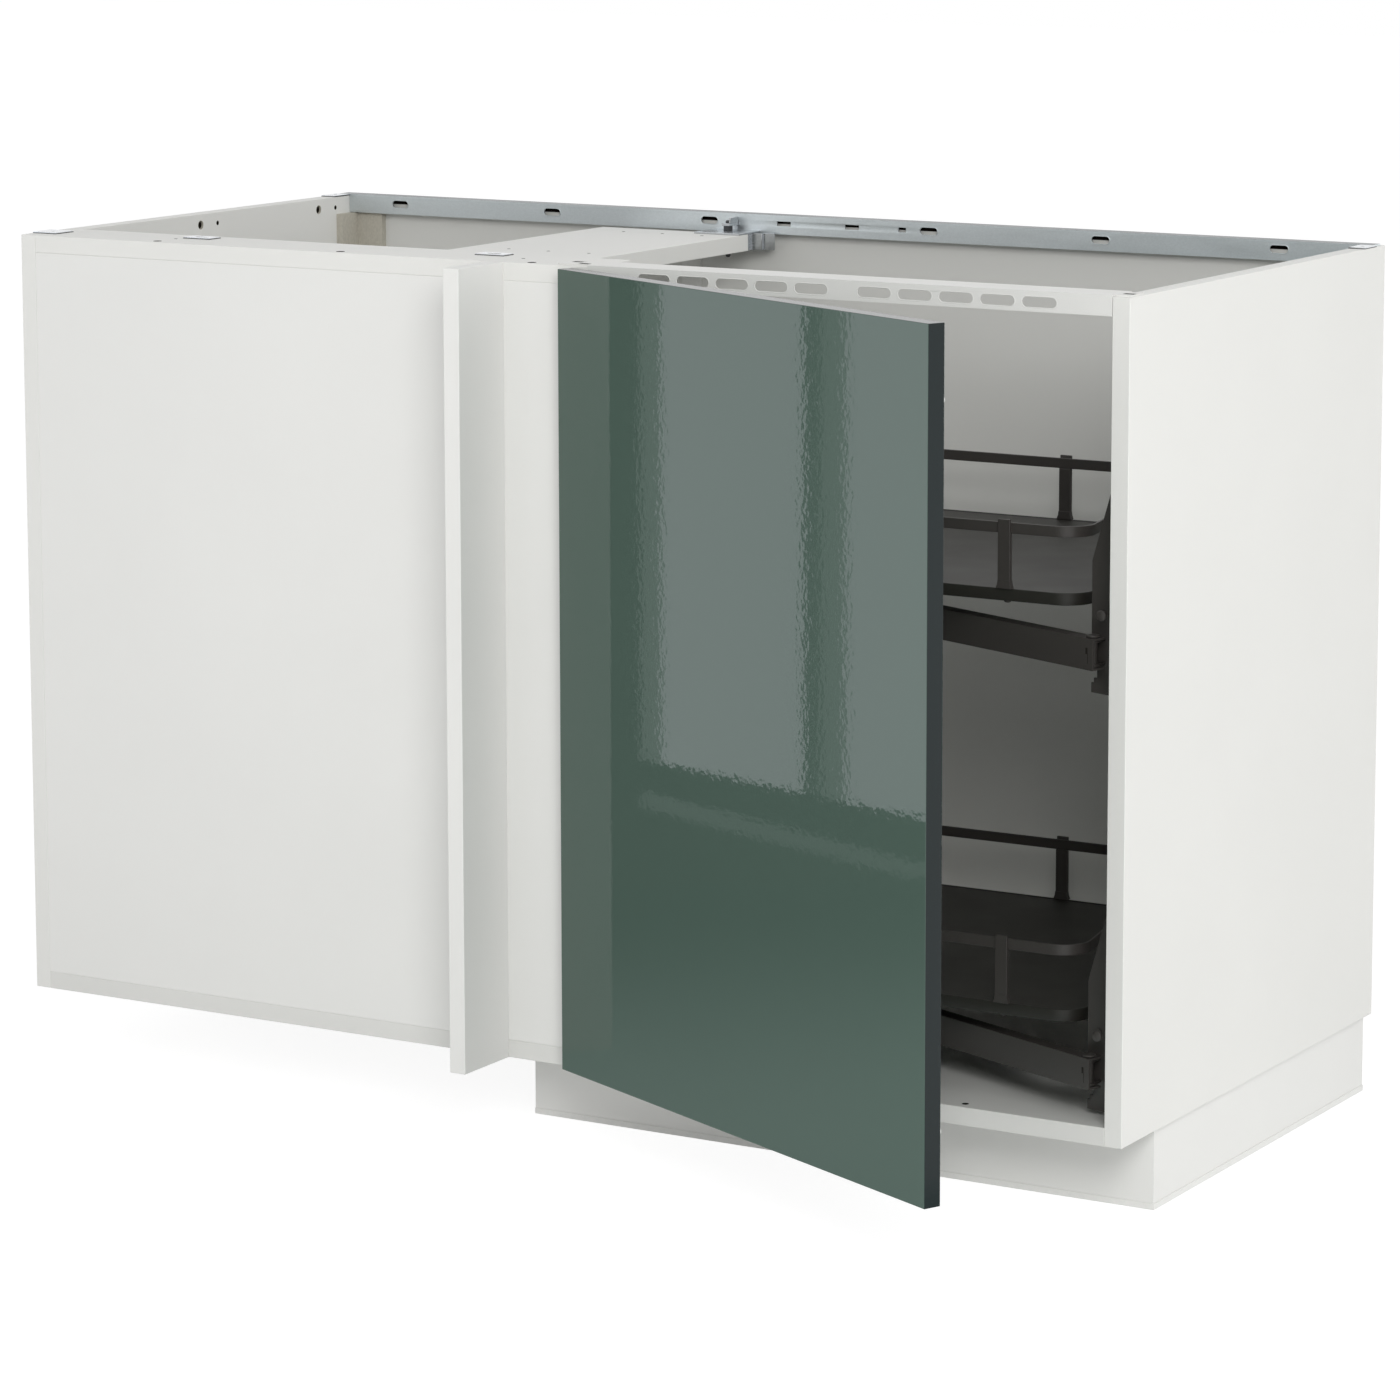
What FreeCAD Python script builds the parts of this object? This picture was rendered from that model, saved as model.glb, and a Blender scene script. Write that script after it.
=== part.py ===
"""Corner base cabinet: a blind corner carcass on legs, a hinged door and two swing-out trays.

Construction frame: X runs right from the outer face of the left side panel, Y runs back
from the front edges of the carcass, Z runs up from the floor. Every solid is written
in the shared frame, whose origin is the bottom centre of the whole cabinet at rest.
"""
import FreeCAD, Part
import math
import os

os.makedirs("parts", exist_ok=True)
V = FreeCAD.Vector
UP = V(0, 0, 1)
ALONG_X = V(1, 0, 0)
ALONG_Y = V(0, 1, 0)

# Carcass boards, in millimetres
width = 1275.0
depth = 595.0
carcass_height = 800.0
leg_height = 80.0
board = 18.0
edge_round = 0.7
half_turn = 180.0
opening_width = 565.0
front_rail_depth = 80.0
cross_board_from_post = 21.0
cross_board_width = 184.0
cross_board_back_gap = 26.0
post_reach = 80.0
post_to_opening = 97.0
overrun = 2.0

# Back panels, their joint and the raw batten in the blind corner
back_board = 4.0
back_inset = 4.0
back_groove = 8.0
back_play = 0.15
back_joint_inset = 90.0
joint_strip_half = 12.0
joint_strip_skin = 1.5
batten_reach = 40.0
batten_thickness = 8.0

# Steel rail that carries the back of the cabinet
rail_depth = 19.0
rail_back_gap = 3.0
rail_height = 20.5
rail_steel = 1.5
rail_end_inset = 4.0
rail_slot_length = 21.0
rail_slot_width = 8.0
rail_slot_pitch = 202.5
rail_slot_group = 3
rail_slot_inset = 70.5
rail_slot_end = 83.5
rail_slot_drop = 9.0
rail_window_offsets = (-106.5, -22.5, 38.5)
rail_window_lengths = (17.0, 17.0, 9.0)
rail_window_height = 5.0
rail_play = 0.5

# Clamp that ties the cross board to the rail
clamp_width = 56.0
clamp_reach = 20.0
clamp_steel = 2.0
clamp_play = 0.4
clamp_web_depth = 34.0
clamp_bolt_from_side = 32.0
clamp_bolt_from_rail = 14.0
clamp_bolt_r = 3.0
clamp_bolt_top = 13.0
clamp_bolt_below = 27.0
clamp_nut_r = 5.5
clamp_nut_height = 5.0
clamp_hook_width = 10.0
clamp_hook_height = 3.0

# Ventilation rail over the door opening
vent_steel = 1.5
vent_top_depth = 42.0
vent_lip = 8.0
vent_slots_in_group = 5
vent_slot_length = 36.0
vent_slot_height = 10.0
vent_slot_pitch = 43.4
vent_slot_margin = 75.0
vent_tab_left = 37.0
vent_tab_right = 16.0
vent_tab_front = 5.0
vent_tab_back = 34.0
end_play = 0.3

# Drillings and plates on the front rail and the panel tops
dowel_hole_r = 4.5
dowel_hole_left_inset = 150.0
dowel_hole_right_inset = 70.0
dowel_hole_count = 3
dowel_hole_setback = 10.0
hook_slot_length = 9.0
hook_slot_width = 4.0
pilot_r = 2.0
pilot_depth = 10.0
pilot_setback = 40.0
pilot_left_inset = 151.0
pilot_right_inset = 99.0
plate_length = 33.0
plate_depth = 19.0
plate_steel = 1.5
plate_slot_r = 2.4
plate_left_inset = 171.0
plate_right_inset = 145.0
plate_setback = 58.0
corner_plate_reach = 30.0
corner_plate_front = 20.0
corner_plate_back = 49.0
cross_mark_insets = (50.5, 99.5, 149.0)
cross_mark_from_back = (269.0, 39.0)
side_drill_r = 5.0
side_drill_depth = 8.0
side_drill_drop = 12.0
side_drill_from_rail = (284.0, 61.0)
side_pilot_r = 2.5
side_pilot_from_rail = (253.0, 28.0)

# Screws
screw_r = 2.5
screw_length = 50.0
screw_head_r = 5.0
screw_head = 3.0
screw_play = 0.1
dowel_r = 4.0
dowel_length = 30.0
dowel_in_side = 11.0
small_screw_r = 1.6
small_screw_length = 12.0
small_head_r = 3.4
small_head = 1.4
corner_screw_setback = 50.0

# Legs and plinth
leg_r = 17.0
leg_wall = 3.0
leg_socket_r = 34.0
leg_socket_height = 10.0
leg_foot_r = 27.0
leg_foot_height = 9.0
leg_thread_r = 6.0
leg_thread_length = 30.0
leg_side_inset = 52.0
leg_back_inset = 60.0
leg_hidden_from_back = 235.0
plinth_past_post = 3.0
plinth_setback = 82.0
plinth_side_setback = 5.0
plinth_end_setback = 10.0
plinth_board = 16.0
plinth_gap = 0.5
seal_height = 6.0
seal_skin = 1.0
clip_wall = 2.0
clip_height = 18.0
clip_low = 34.0
leg_behind_plinth = 36.0

# Door and its hinges
door_width = 597.0
door_height = 797.0
door_thickness = 18.0
door_gap = 2.0
door_overlay = 17.5
door_open_angle = 25.0
door_swing_angle = 85.0
pivot_from_edge = 0.5
pivot_from_front = 12.0
hinge_heights = (300.0, 480.0, 790.0)
cup_r = 17.5
cup_depth = 11.5
cup_centre = 22.5
cup_wall = 1.3
cup_play = 0.05
cup_flange = 1.2
cup_flange_half_width = 13.0
cup_flange_half_height = 31.0
cup_screw_spacing = 24.0
hinge_plate_front = 24.0
hinge_plate_back = 76.0
hinge_plate_half_height = 24.0
hinge_plate_thickness = 3.5
hinge_screw_spacing = 16.0
hinge_screw_setback = 37.0
arm_web = 1.5
arm_half_height = 9.5
arm_width = 18.0
arm_front = 0.5
arm_back = 62.0
link_near = 11.5
link_far = 30.0
link_neck_near = 24.0
link_depth = 8.4
link_tail = 26.0
link_play = 0.3
bumper_r = 4.0
bumper_height = 1.6
bumper_from_end = 70.0

# Trays: one outline, two heights
tray_spacing = 400.0
tray_count = 2
tray_names = ("lower", "upper")
tray_base_bottom = 182.0
tray_base_height = 12.0
tray_front = 40.0
tray_back_gap = 129.0
tray_side_gap = 44.0
tray_taper = 83.0
tray_front_length = 283.0
tray_past_opening = 2.0
tray_end_length = 86.0
tray_radii = (28.0, 90.0, 60.0, 50.0, 90.0)
tray_lip = 3.0
tray_recess = 2.0
mat_thickness = 1.0
mat_play = 0.3
band_bottom = 64.5
band_height = 10.5
band_steel = 2.5
post_width = 13.0
post_steel = 2.5
post_cap = 3.0
front_post_right_inset = 85.0
front_post_left_inset = 55.0
back_post_right_inset = 233.0
back_post_left_inset = 110.0
tray_right_post_share = 0.55
tray_slant_post_share = 0.62

# Tray arms, their wall brackets and swivels
arm_pivot_from_side = 26.0
arm_pivot_y = 20.0
arm_length = 385.0
arm_rest_angle = 158.0
arm_bar_height = 30.0
arm_bar_width = 16.0
arm_below_base = 23.0
arm_pin_r = 4.0
pin_play = 0.05
swivel_pin_r = 6.0
swivel_boss_r = 20.0
swivel_plate_length = 190.0
swivel_plate = 3.0
swivel_play = 0.3
bracket_steel = 2.5
bracket_web_front = 35.0
bracket_width = 35.0
bracket_flange_back = 78.0
bracket_bottom = 99.0
bracket_height = 240.0
bracket_shoulder = 130.0
bracket_neck = 217.0
bracket_neck_width = 10.0
bracket_ear_half = 5.5
bracket_ear_play = 0.4
arm_skin = 2.0
arm_hollow = 24.0
pin_head_r = 6.5
pin_head = 2.0
rivet_r = 4.5
rivet_head = 1.8
rivet_rise = 79.0
rivet_from_edge = 11.0

# Levels and faces worked out from the sizes above
bottom_z = leg_height
top_z = leg_height + carcass_height
inner_left = board
inner_right = width - board
opening_left = inner_right - opening_width
post_right = opening_left - post_to_opening
post_left = post_right - board
post_middle = post_left + board / 2
floor_z = bottom_z + board
rail_under = top_z - board
rail_front = depth - rail_back_gap - rail_depth
cross_board_right = post_left - cross_board_from_post
cross_board_left = cross_board_right - cross_board_width
cross_board_back = rail_front - cross_board_back_gap
back_joint_x = cross_board_left + back_joint_inset
plinth_left = post_left - plinth_past_post
back_front = depth - back_inset - back_board
back_rear = depth - back_inset
rail_top = top_z + rail_steel
rail_bottom = rail_top - rail_height
back_top = rail_bottom - rail_play
door_left = opening_left - door_overlay
door_bottom = bottom_z + (carcass_height - door_height) / 2
pivot_x = door_left + pivot_from_edge
pivot_y = pivot_from_front - door_thickness - door_gap
door_front_y = -door_gap - door_thickness
tray_right = inner_right - tray_side_gap
tray_back = depth - tray_back_gap
tray_back_right = tray_right - tray_taper
tray_front_left = tray_right - tray_front_length
tray_left = opening_left - tray_past_opening
tray_waist = tray_back - tray_end_length
arm_pivot_x = inner_right - arm_pivot_from_side
bracket_left = inner_right - bracket_width

nodes = {}


def block(x0, x1, y0, y1, z0, z1):
    """A plain box between two corners."""
    return Part.makeBox(x1 - x0, y1 - y0, z1 - z0, V(x0, y0, z0))


def panel(x0, x1, y0, y1, z0, z1):
    """A board with its edges eased, as edge banding leaves them."""
    solid = block(x0, x1, y0, y1, z0, z1)
    return solid.makeFillet(edge_round, solid.Edges)


def rod(x, y, z0, z1, r):
    """An upright round bar."""
    return Part.makeCylinder(r, z1 - z0, V(x, y, z0), UP)


def rod_along_x(x0, x1, y, z, r):
    return Part.makeCylinder(r, x1 - x0, V(x0, y, z), ALONG_X)


def rod_along_y(x, y0, y1, z, r):
    return Part.makeCylinder(r, y1 - y0, V(x, y0, z), ALONG_Y)


def joined(shapes):
    """Several touching shapes as one clean solid."""
    whole = shapes[0]
    for shape in shapes[1:]:
        whole = whole.fuse(shape)
    return whole.removeSplitter()


def drilled(solid, tools):
    for tool in tools:
        solid = solid.cut(tool)
    return solid


def rounded_outline(points, radii, z):
    """A closed wire through points, each corner an arc of its own radius."""
    starts = []
    middles = []
    ends = []
    for i, here in enumerate(points):
        corner = V(here[0], here[1], z)
        before = V(points[i - 1][0], points[i - 1][1], z) - corner
        after = V(points[(i + 1) % len(points)][0], points[(i + 1) % len(points)][1], z) - corner
        half = before.getAngle(after) / 2
        before.normalize()
        after.normalize()
        bisector = before + after
        bisector.normalize()
        centre = corner + bisector * (radii[i] / math.sin(half))
        starts.append(corner + before * (radii[i] / math.tan(half)))
        ends.append(corner + after * (radii[i] / math.tan(half)))
        middles.append(centre - bisector * radii[i])
    edges = []
    for i in range(len(points)):
        edges.append(Part.Arc(starts[i], middles[i], ends[i]).toShape())
        edges.append(Part.LineSegment(ends[i], starts[(i + 1) % len(points)]).toShape())
    return Part.Wire(edges)


def slab(wire, height):
    return Part.Face(wire).extrude(V(0, 0, height))


def obround_y(x, z, length, width_across, y0, y1):
    """A slot with round ends, long along X, cut through along Y."""
    r = width_across / 2
    half = length / 2 - r
    cut = block(x - half, x + half, y0, y1, z - r, z + r)
    return joined([cut, rod_along_y(x - half, y0, y1, z, r), rod_along_y(x + half, y0, y1, z, r)])


def obround_z(x, y, length, width_across, z0, z1):
    """A slot with round ends, long along X, cut through along Z."""
    r = width_across / 2
    half = length / 2 - r
    cut = block(x - half, x + half, y - r, y + r, z0, z1)
    return joined([cut, rod(x - half, y, z0, z1, r), rod(x + half, y, z0, z1, r)])


def turned(shape, angle, x, y):
    """A copy turned about an upright line, positive anticlockwise from above."""
    copy = shape.copy()
    copy.rotate(V(x, y, 0), UP, angle)
    return copy


def door_at_rest(shape):
    """Takes a piece of the closed door to the angle at which the door stands at rest."""
    return turned(shape, -door_open_angle, pivot_x, pivot_y)


def save(name, shape):
    nodes[name] = shape


def group(solids):
    return Part.makeCompound(solids)


# Screw places shared by the panels that the screws join
bottom_joint_ys = (corner_screw_setback, depth / 2, back_front - corner_screw_setback)
top_screw_setbacks = (front_rail_depth / 4, front_rail_depth * 3 / 4)


def side_screw(y, z):
    """A carcass screw driven through the left side panel into the end of a board."""
    return joined([rod_along_x(0, screw_length, y, z, screw_r),
                   rod_along_x(0, screw_head, y, z, screw_head_r)])


def side_screw_hole(y, z):
    """The hole that clears a carcass screw all round."""
    return joined([rod_along_x(-overrun, screw_length + screw_play, y, z, screw_r + screw_play),
                   rod_along_x(-overrun, screw_head + screw_play, y, z, screw_head_r + screw_play)])


def bottom_dowel(y, play):
    """A glued dowel between the bottom and the right side panel, or the bore round it."""
    x0 = inner_right + dowel_in_side - dowel_length
    return rod_along_x(x0 - play, x0 + dowel_length + play, y, bottom_joint_z, dowel_r + play)


bottom_joint_z = bottom_z + board / 2
top_screw_z = top_z - board / 2
joint_holes = [side_screw_hole(y, bottom_joint_z) for y in bottom_joint_ys]
joint_holes += [side_screw_hole(y, top_screw_z) for y in top_screw_setbacks]
joint_holes += [bottom_dowel(y, screw_play) for y in bottom_joint_ys]


def make_side_panels():
    for name, x0, x1, inner in (("side_panel_left", 0, inner_left, inner_left),
                                ("side_panel_right", inner_right, width, inner_right)):
        side = panel(x0, x1, 0, depth, bottom_z, top_z)
        inward = back_groove if inner == inner_left else -back_groove
        groove_low = min(inner, inner - inward)
        groove = block(groove_low, groove_low + back_groove, back_front - back_play,
                       back_rear + back_play, bottom_z - overrun, back_top + back_play)
        side = drilled(side, [groove] + joint_holes)
        if inner == inner_left:
            for setback in side_drill_from_rail:
                side = side.cut(rod_along_x(inner - side_drill_depth, inner + overrun,
                                            rail_front - setback,
                                            top_z - side_drill_drop, side_drill_r))
            for setback in side_pilot_from_rail:
                side = side.cut(rod_along_x(inner - side_drill_depth, inner + overrun,
                                            rail_front - setback,
                                            top_z - side_drill_drop, side_pilot_r))
        save(name, side)


def make_boards():
    bottom = panel(inner_left, inner_right, 0, back_front, bottom_z, floor_z)
    save("bottom_panel", drilled(bottom, joint_holes))

    rail = panel(inner_left, opening_left, 0, front_rail_depth, rail_under, top_z)
    rail = drilled(rail, joint_holes)
    first = inner_left + dowel_hole_left_inset
    pitch = (opening_left - dowel_hole_right_inset - first) / (dowel_hole_count - 1)
    for i in range(dowel_hole_count):
        rail = rail.cut(rod(first + i * pitch, dowel_hole_setback,
                            rail_under - overrun, top_z + overrun, dowel_hole_r))
    for x in (inner_left + pilot_left_inset, opening_left - pilot_right_inset):
        rail = rail.cut(rod(x, pilot_setback, top_z - pilot_depth, top_z + overrun, pilot_r))
    for x, y in hook_slot_places():
        rail = rail.cut(obround_z(x, y, hook_slot_length, hook_slot_width,
                                  top_z - pilot_depth, top_z + overrun))
    save("front_top_rail", rail)

    cross = panel(cross_board_left, cross_board_right, board, cross_board_back,
                  rail_under - board, rail_under)
    for inset in cross_mark_insets:
        for setback in cross_mark_from_back:
            cross = cross.cut(rod(cross_board_left + inset, cross_board_back - setback,
                                  rail_under - pilot_depth, rail_under + overrun, pilot_r))
    save("cross_board", cross)

    save("blind_panel_wide", panel(inner_left, post_middle, 0, board, floor_z, rail_under))
    save("blind_panel_narrow", panel(post_middle, opening_left, 0, board, floor_z, rail_under))
    save("corner_post", panel(post_left, post_right, -post_reach, 0, bottom_z, top_z))
    save("hinge_stile", panel(opening_left - board, opening_left, board, front_rail_depth,
                              floor_z, rail_under))


def hook_slot_places():
    """Where the left end of the ventilation rail hooks into the front rail."""
    middle = opening_left - vent_tab_left / 2
    return ((middle - hook_slot_width, vent_tab_back - hook_slot_width),
            (middle + hook_slot_width, vent_tab_front + hook_slot_width))


def make_back():
    left_edge = inner_left - back_groove + back_play
    right_edge = inner_right + back_groove - back_play
    half_web = joint_strip_skin / 2
    save("back_panel_left", block(left_edge, back_joint_x - half_web - back_play,
                                  back_front, back_rear, bottom_z, back_top))
    save("back_panel_right", block(back_joint_x + half_web + back_play, right_edge,
                                   back_front, back_rear, bottom_z, back_top))
    strip_left = back_joint_x - joint_strip_half
    strip_right = back_joint_x + joint_strip_half
    strip = block(strip_left, strip_right, back_front - joint_strip_skin - back_play,
                  back_rear + joint_strip_skin + back_play, floor_z, back_top)
    for x0, x1 in ((strip_left - overrun, back_joint_x - half_web),
                   (back_joint_x + half_web, strip_right + overrun)):
        strip = strip.cut(block(x0, x1, back_front - back_play, back_rear + back_play,
                                floor_z - overrun, back_top + overrun))
    save("back_joint_strip", strip)

    batten_front = back_front - batten_reach
    along_side = block(inner_left, inner_left + batten_thickness, batten_front, back_front,
                       floor_z, back_top)
    along_back = block(inner_left, inner_left + batten_reach, back_front - batten_thickness,
                       back_front, floor_z, back_top)
    save("corner_batten", joined([along_side, along_back]))


def make_suspension_rail():
    """The rail hangs between the side panels, and its top flange rests on both of them."""
    x0 = inner_left + end_play
    x1 = inner_right - end_play
    web = block(x0, x1, rail_front, rail_front + rail_steel, rail_bottom, rail_top)
    top = block(rail_end_inset, width - rail_end_inset, rail_front, rail_front + rail_depth,
                top_z, rail_top)
    foot = block(x0, x1, rail_front, rail_front + rail_depth * 2 / 3, rail_bottom,
                 rail_bottom + rail_steel)
    rail = joined([web, top, foot])
    slot_z = rail_top - rail_slot_drop
    y0 = rail_front - overrun
    y1 = rail_front + rail_steel + overrun
    for first in (rail_end_inset + rail_slot_end, opening_left + rail_slot_inset):
        for i in range(rail_slot_group):
            rail = rail.cut(obround_y(first + i * rail_slot_pitch, slot_z, rail_slot_length,
                                      rail_slot_width, y0, y1))
    for offset, length in zip(rail_window_offsets, rail_window_lengths):
        x = opening_left + offset
        rail = rail.cut(block(x - length / 2, x + length / 2, y0, y1,
                              slot_z - rail_window_height / 2, slot_z + rail_window_height / 2))
    save("suspension_rail", rail)


def make_rail_clamp():
    """Steel strap on the back end of the cross board, bolted up and hooked to the rail."""
    x1 = cross_board_right
    clamp_left = x1 - clamp_width
    clamp_bolt_x = x1 - clamp_bolt_from_side
    clamp_bolt_y = rail_front - clamp_bolt_from_rail
    plate = block(clamp_left, x1, cross_board_back - clamp_reach, rail_front - clamp_play,
                  rail_under, rail_under + clamp_steel)
    web = block(x1 - clamp_steel, x1, cross_board_back, cross_board_back + clamp_web_depth,
                rail_under - board, rail_bottom - clamp_play)
    turn = block(x1 - clamp_steel, x1, cross_board_back, rail_front - clamp_play,
                 rail_under - board, rail_under + clamp_steel)
    drop = block(clamp_left, x1, cross_board_back, cross_board_back + clamp_steel,
                 rail_under - board, rail_under + clamp_steel)
    strap = joined([plate, web, turn, drop])
    strap = strap.cut(rod(clamp_bolt_x, clamp_bolt_y, rail_under - overrun,
                          rail_under + clamp_steel + overrun, clamp_bolt_r + screw_play))
    save("rail_clamp", strap)

    on_plate = rail_under + clamp_steel
    bolt_top = rail_under + clamp_bolt_top
    bolt = rod(clamp_bolt_x, clamp_bolt_y, rail_under - clamp_bolt_below, bolt_top, clamp_bolt_r)
    head = rod(clamp_bolt_x, clamp_bolt_y, rail_under - clamp_nut_height, rail_under, clamp_nut_r)
    save("rail_clamp_bolt", joined([bolt, head]))
    nut = rod(clamp_bolt_x, clamp_bolt_y, on_plate, on_plate + clamp_nut_height, clamp_nut_r)
    nut = nut.cut(rod(clamp_bolt_x, clamp_bolt_y, on_plate - overrun,
                      on_plate + clamp_nut_height + overrun, clamp_bolt_r + screw_play))
    save("rail_clamp_nut", nut)
    hook_low = on_plate + clamp_nut_height
    hook = block(clamp_bolt_x - clamp_hook_width / 2, clamp_bolt_x + clamp_hook_width / 2,
                 clamp_bolt_y - clamp_nut_r, rail_front, hook_low, hook_low + clamp_hook_height)
    hook = hook.cut(rod(clamp_bolt_x, clamp_bolt_y, hook_low - overrun,
                        hook_low + clamp_hook_height + overrun, clamp_bolt_r + screw_play))
    save("rail_clamp_hook", hook)


def make_vent_rail():
    x0 = opening_left + end_play
    x1 = inner_right - end_play
    web = block(x0, x1, 0, vent_steel, rail_under, top_z + vent_steel)
    top = block(x0, x1, 0, vent_top_depth, top_z, top_z + vent_steel)
    lip = block(x0, x1, 0, vent_lip, rail_under, rail_under + vent_steel)
    tab_left = block(opening_left - vent_tab_left, x0, vent_tab_front, vent_tab_back,
                     top_z, top_z + vent_steel)
    tab_right = block(x1, inner_right + vent_tab_right, vent_tab_front, vent_tab_back,
                      top_z, top_z + vent_steel)
    rail = joined([web, top, lip, tab_left, tab_right])
    slot_z = rail_under + board / 2
    first = opening_left + vent_slot_margin
    last = inner_right - vent_slot_margin
    for i in range(vent_slots_in_group):
        for x in (first + i * vent_slot_pitch, last - i * vent_slot_pitch):
            rail = rail.cut(obround_y(x, slot_z, vent_slot_length, vent_slot_height,
                                      -overrun, vent_steel + overrun))
    for x, y in hook_slot_places():
        rail = rail.cut(obround_z(x, y, hook_slot_length, hook_slot_width,
                                  top_z - overrun, top_z + vent_steel + overrun))
    rail = rail.cut(obround_z(inner_right + vent_tab_right / 2, (vent_tab_front + vent_tab_back) / 2,
                              hook_slot_length, hook_slot_width,
                              top_z - overrun, top_z + vent_steel + overrun))
    save("vent_rail", rail)


def make_top_plates():
    """Small steel plates, level with the rail, on which a worktop is fixed."""
    plates = []
    for x in (inner_left + plate_left_inset, opening_left - plate_right_inset):
        plate = block(x - plate_length / 2, x + plate_length / 2, plate_setback - plate_depth / 2,
                      plate_setback + plate_depth / 2, top_z, top_z + plate_steel)
        plate = plate.cut(obround_z(x, plate_setback, plate_length / 2, plate_slot_r * 2,
                                    top_z - overrun, top_z + plate_steel + overrun))
        plates.append(plate)
    save("worktop_plates", group(plates))

    corners = []
    corner_depth = corner_plate_back - corner_plate_front
    back_low = rail_front - corner_depth - rail_play
    for x0, x1, y0 in ((0, corner_plate_reach, corner_plate_front),
                       (0, board, back_low),
                       (inner_right, width, back_low)):
        plate = block(x0, x1, y0, y0 + corner_depth, top_z, top_z + plate_steel)
        plate = plate.cut(rod((x0 + x1) / 2, y0 + corner_depth / 2, top_z - overrun,
                              top_z + plate_steel + overrun, plate_slot_r))
        corners.append(plate)
    save("corner_plates", group(corners))


def leg_places():
    """Legs stand back under the blind part and close behind the plinth elsewhere."""
    behind = plinth_setback + plinth_board + leg_behind_plinth
    back = depth - leg_back_inset
    right = width - plinth_side_setback - plinth_board - leg_behind_plinth
    middle = (post_right + right) / 2
    return ((leg_side_inset, back - leg_hidden_from_back), (leg_side_inset, back),
            (post_right + leg_side_inset, behind), (middle, back), (right, behind), (right, back))


def make_legs():
    sockets = []
    tubes = []
    feet = []
    tube_top = bottom_z - leg_wall
    for x, y in leg_places():
        socket = joined([rod(x, y, bottom_z - leg_wall, bottom_z, leg_socket_r),
                         rod(x, y, bottom_z - leg_socket_height, bottom_z, leg_r + leg_wall * 2)])
        socket = socket.cut(rod(x, y, bottom_z - leg_socket_height - overrun, tube_top,
                                leg_r + screw_play))
        sockets.append(socket)
        tube = rod(x, y, leg_foot_height + leg_wall, tube_top, leg_r)
        tube = tube.cut(rod(x, y, leg_foot_height, leg_foot_height + leg_wall * 2 + leg_thread_length,
                            leg_thread_r + screw_play))
        tubes.append(tube)
        foot = joined([rod(x, y, 0, leg_foot_height, leg_foot_r),
                       rod(x, y, 0, leg_foot_height + leg_thread_length, leg_thread_r)])
        feet.append(foot)
    save("leg_sockets", group(sockets))
    save("leg_tubes", group(tubes))
    save("leg_feet", group(feet))


def make_plinth():
    top = bottom_z - plinth_gap
    right = width - plinth_side_setback
    front = block(plinth_left, right - plinth_board, plinth_setback,
                  plinth_setback + plinth_board, seal_skin, top)
    side = block(right - plinth_board, right, plinth_setback, depth - plinth_end_setback,
                 seal_skin, top)
    save("plinth_front", front)
    save("plinth_side", side)

    front_seal = block(plinth_left, right + seal_skin, plinth_setback - seal_skin,
                       plinth_setback + plinth_board, 0, seal_height)
    side_seal = block(right - plinth_board, right + seal_skin, plinth_setback - seal_skin,
                      depth - plinth_end_setback, 0, seal_height)
    seal = joined([front_seal, side_seal])
    seal = drilled(seal, [block(plinth_left - overrun, right, plinth_setback,
                                plinth_setback + plinth_board + overrun, seal_skin,
                                seal_height + overrun),
                          block(right - plinth_board - overrun, right, plinth_setback,
                                depth + overrun, seal_skin, seal_height + overrun)])
    save("plinth_seal", seal)

    clips = []
    behind = plinth_setback + plinth_board
    side_inner = right - plinth_board
    clip_high = clip_low + clip_height
    for x, y in leg_places():
        ring_r = leg_r + clip_wall
        clip = rod(x, y, clip_low, clip_high, ring_r)
        if y < depth / 2 and x > plinth_left:
            clip = joined([clip, block(x - leg_r / 2, x + leg_r / 2, behind, y, clip_low, clip_high)])
        elif x > side_inner - leg_behind_plinth * 2:
            clip = joined([clip, block(x, side_inner, y - leg_r / 2, y + leg_r / 2, clip_low,
                                       clip_high)])
        else:
            continue
        clips.append(clip.cut(rod(x, y, clip_low - overrun, clip_high + overrun,
                                  leg_r + screw_play)))
    save("plinth_clips", group(clips))


def make_door():
    door = panel(door_left, door_left + door_width, door_front_y, -door_gap,
                 door_bottom, door_bottom + door_height)
    cups = []
    screws = []
    cup_x = door_left + cup_centre
    for z in hinge_heights:
        door = door.cut(rod_along_y(cup_x, -door_gap - cup_depth, -door_gap + overrun, z, cup_r))
        shell = rod_along_y(cup_x, -door_gap - cup_depth, -door_gap, z, cup_r - cup_play)
        flange = block(cup_x - cup_flange_half_width, cup_x + cup_flange_half_width, -door_gap,
                       -door_gap + cup_flange, z - cup_flange_half_height,
                       z + cup_flange_half_height)
        cup = joined([shell, flange])
        cup = cup.cut(rod_along_y(cup_x, -door_gap - cup_depth + cup_wall,
                                  -door_gap + cup_flange + overrun, z, cup_r - cup_wall))
        for side in (-1, 1):
            at = z + side * cup_screw_spacing
            shank = rod_along_y(cup_x, -door_gap - small_screw_length, -door_gap + cup_flange / 2,
                                at, small_screw_r)
            clear = rod_along_y(cup_x, -door_gap - small_screw_length - screw_play,
                                -door_gap + cup_flange + overrun, at, small_screw_r + screw_play)
            sink = rod_along_y(cup_x, -door_gap + cup_flange / 2 - screw_play,
                               -door_gap + cup_flange + overrun, at, small_head_r + screw_play)
            head = rod_along_y(cup_x, -door_gap + cup_flange / 2, -door_gap + cup_flange, at,
                               small_head_r)
            door = door.cut(clear)
            cup = drilled(cup, [clear, sink])
            screws.append(door_at_rest(joined([shank, head])))
        cups.append(door_at_rest(cup))
    save("door_panel", door_at_rest(door))
    save("hinge_cups", group(cups))
    save("cup_screws", group(screws))


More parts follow.
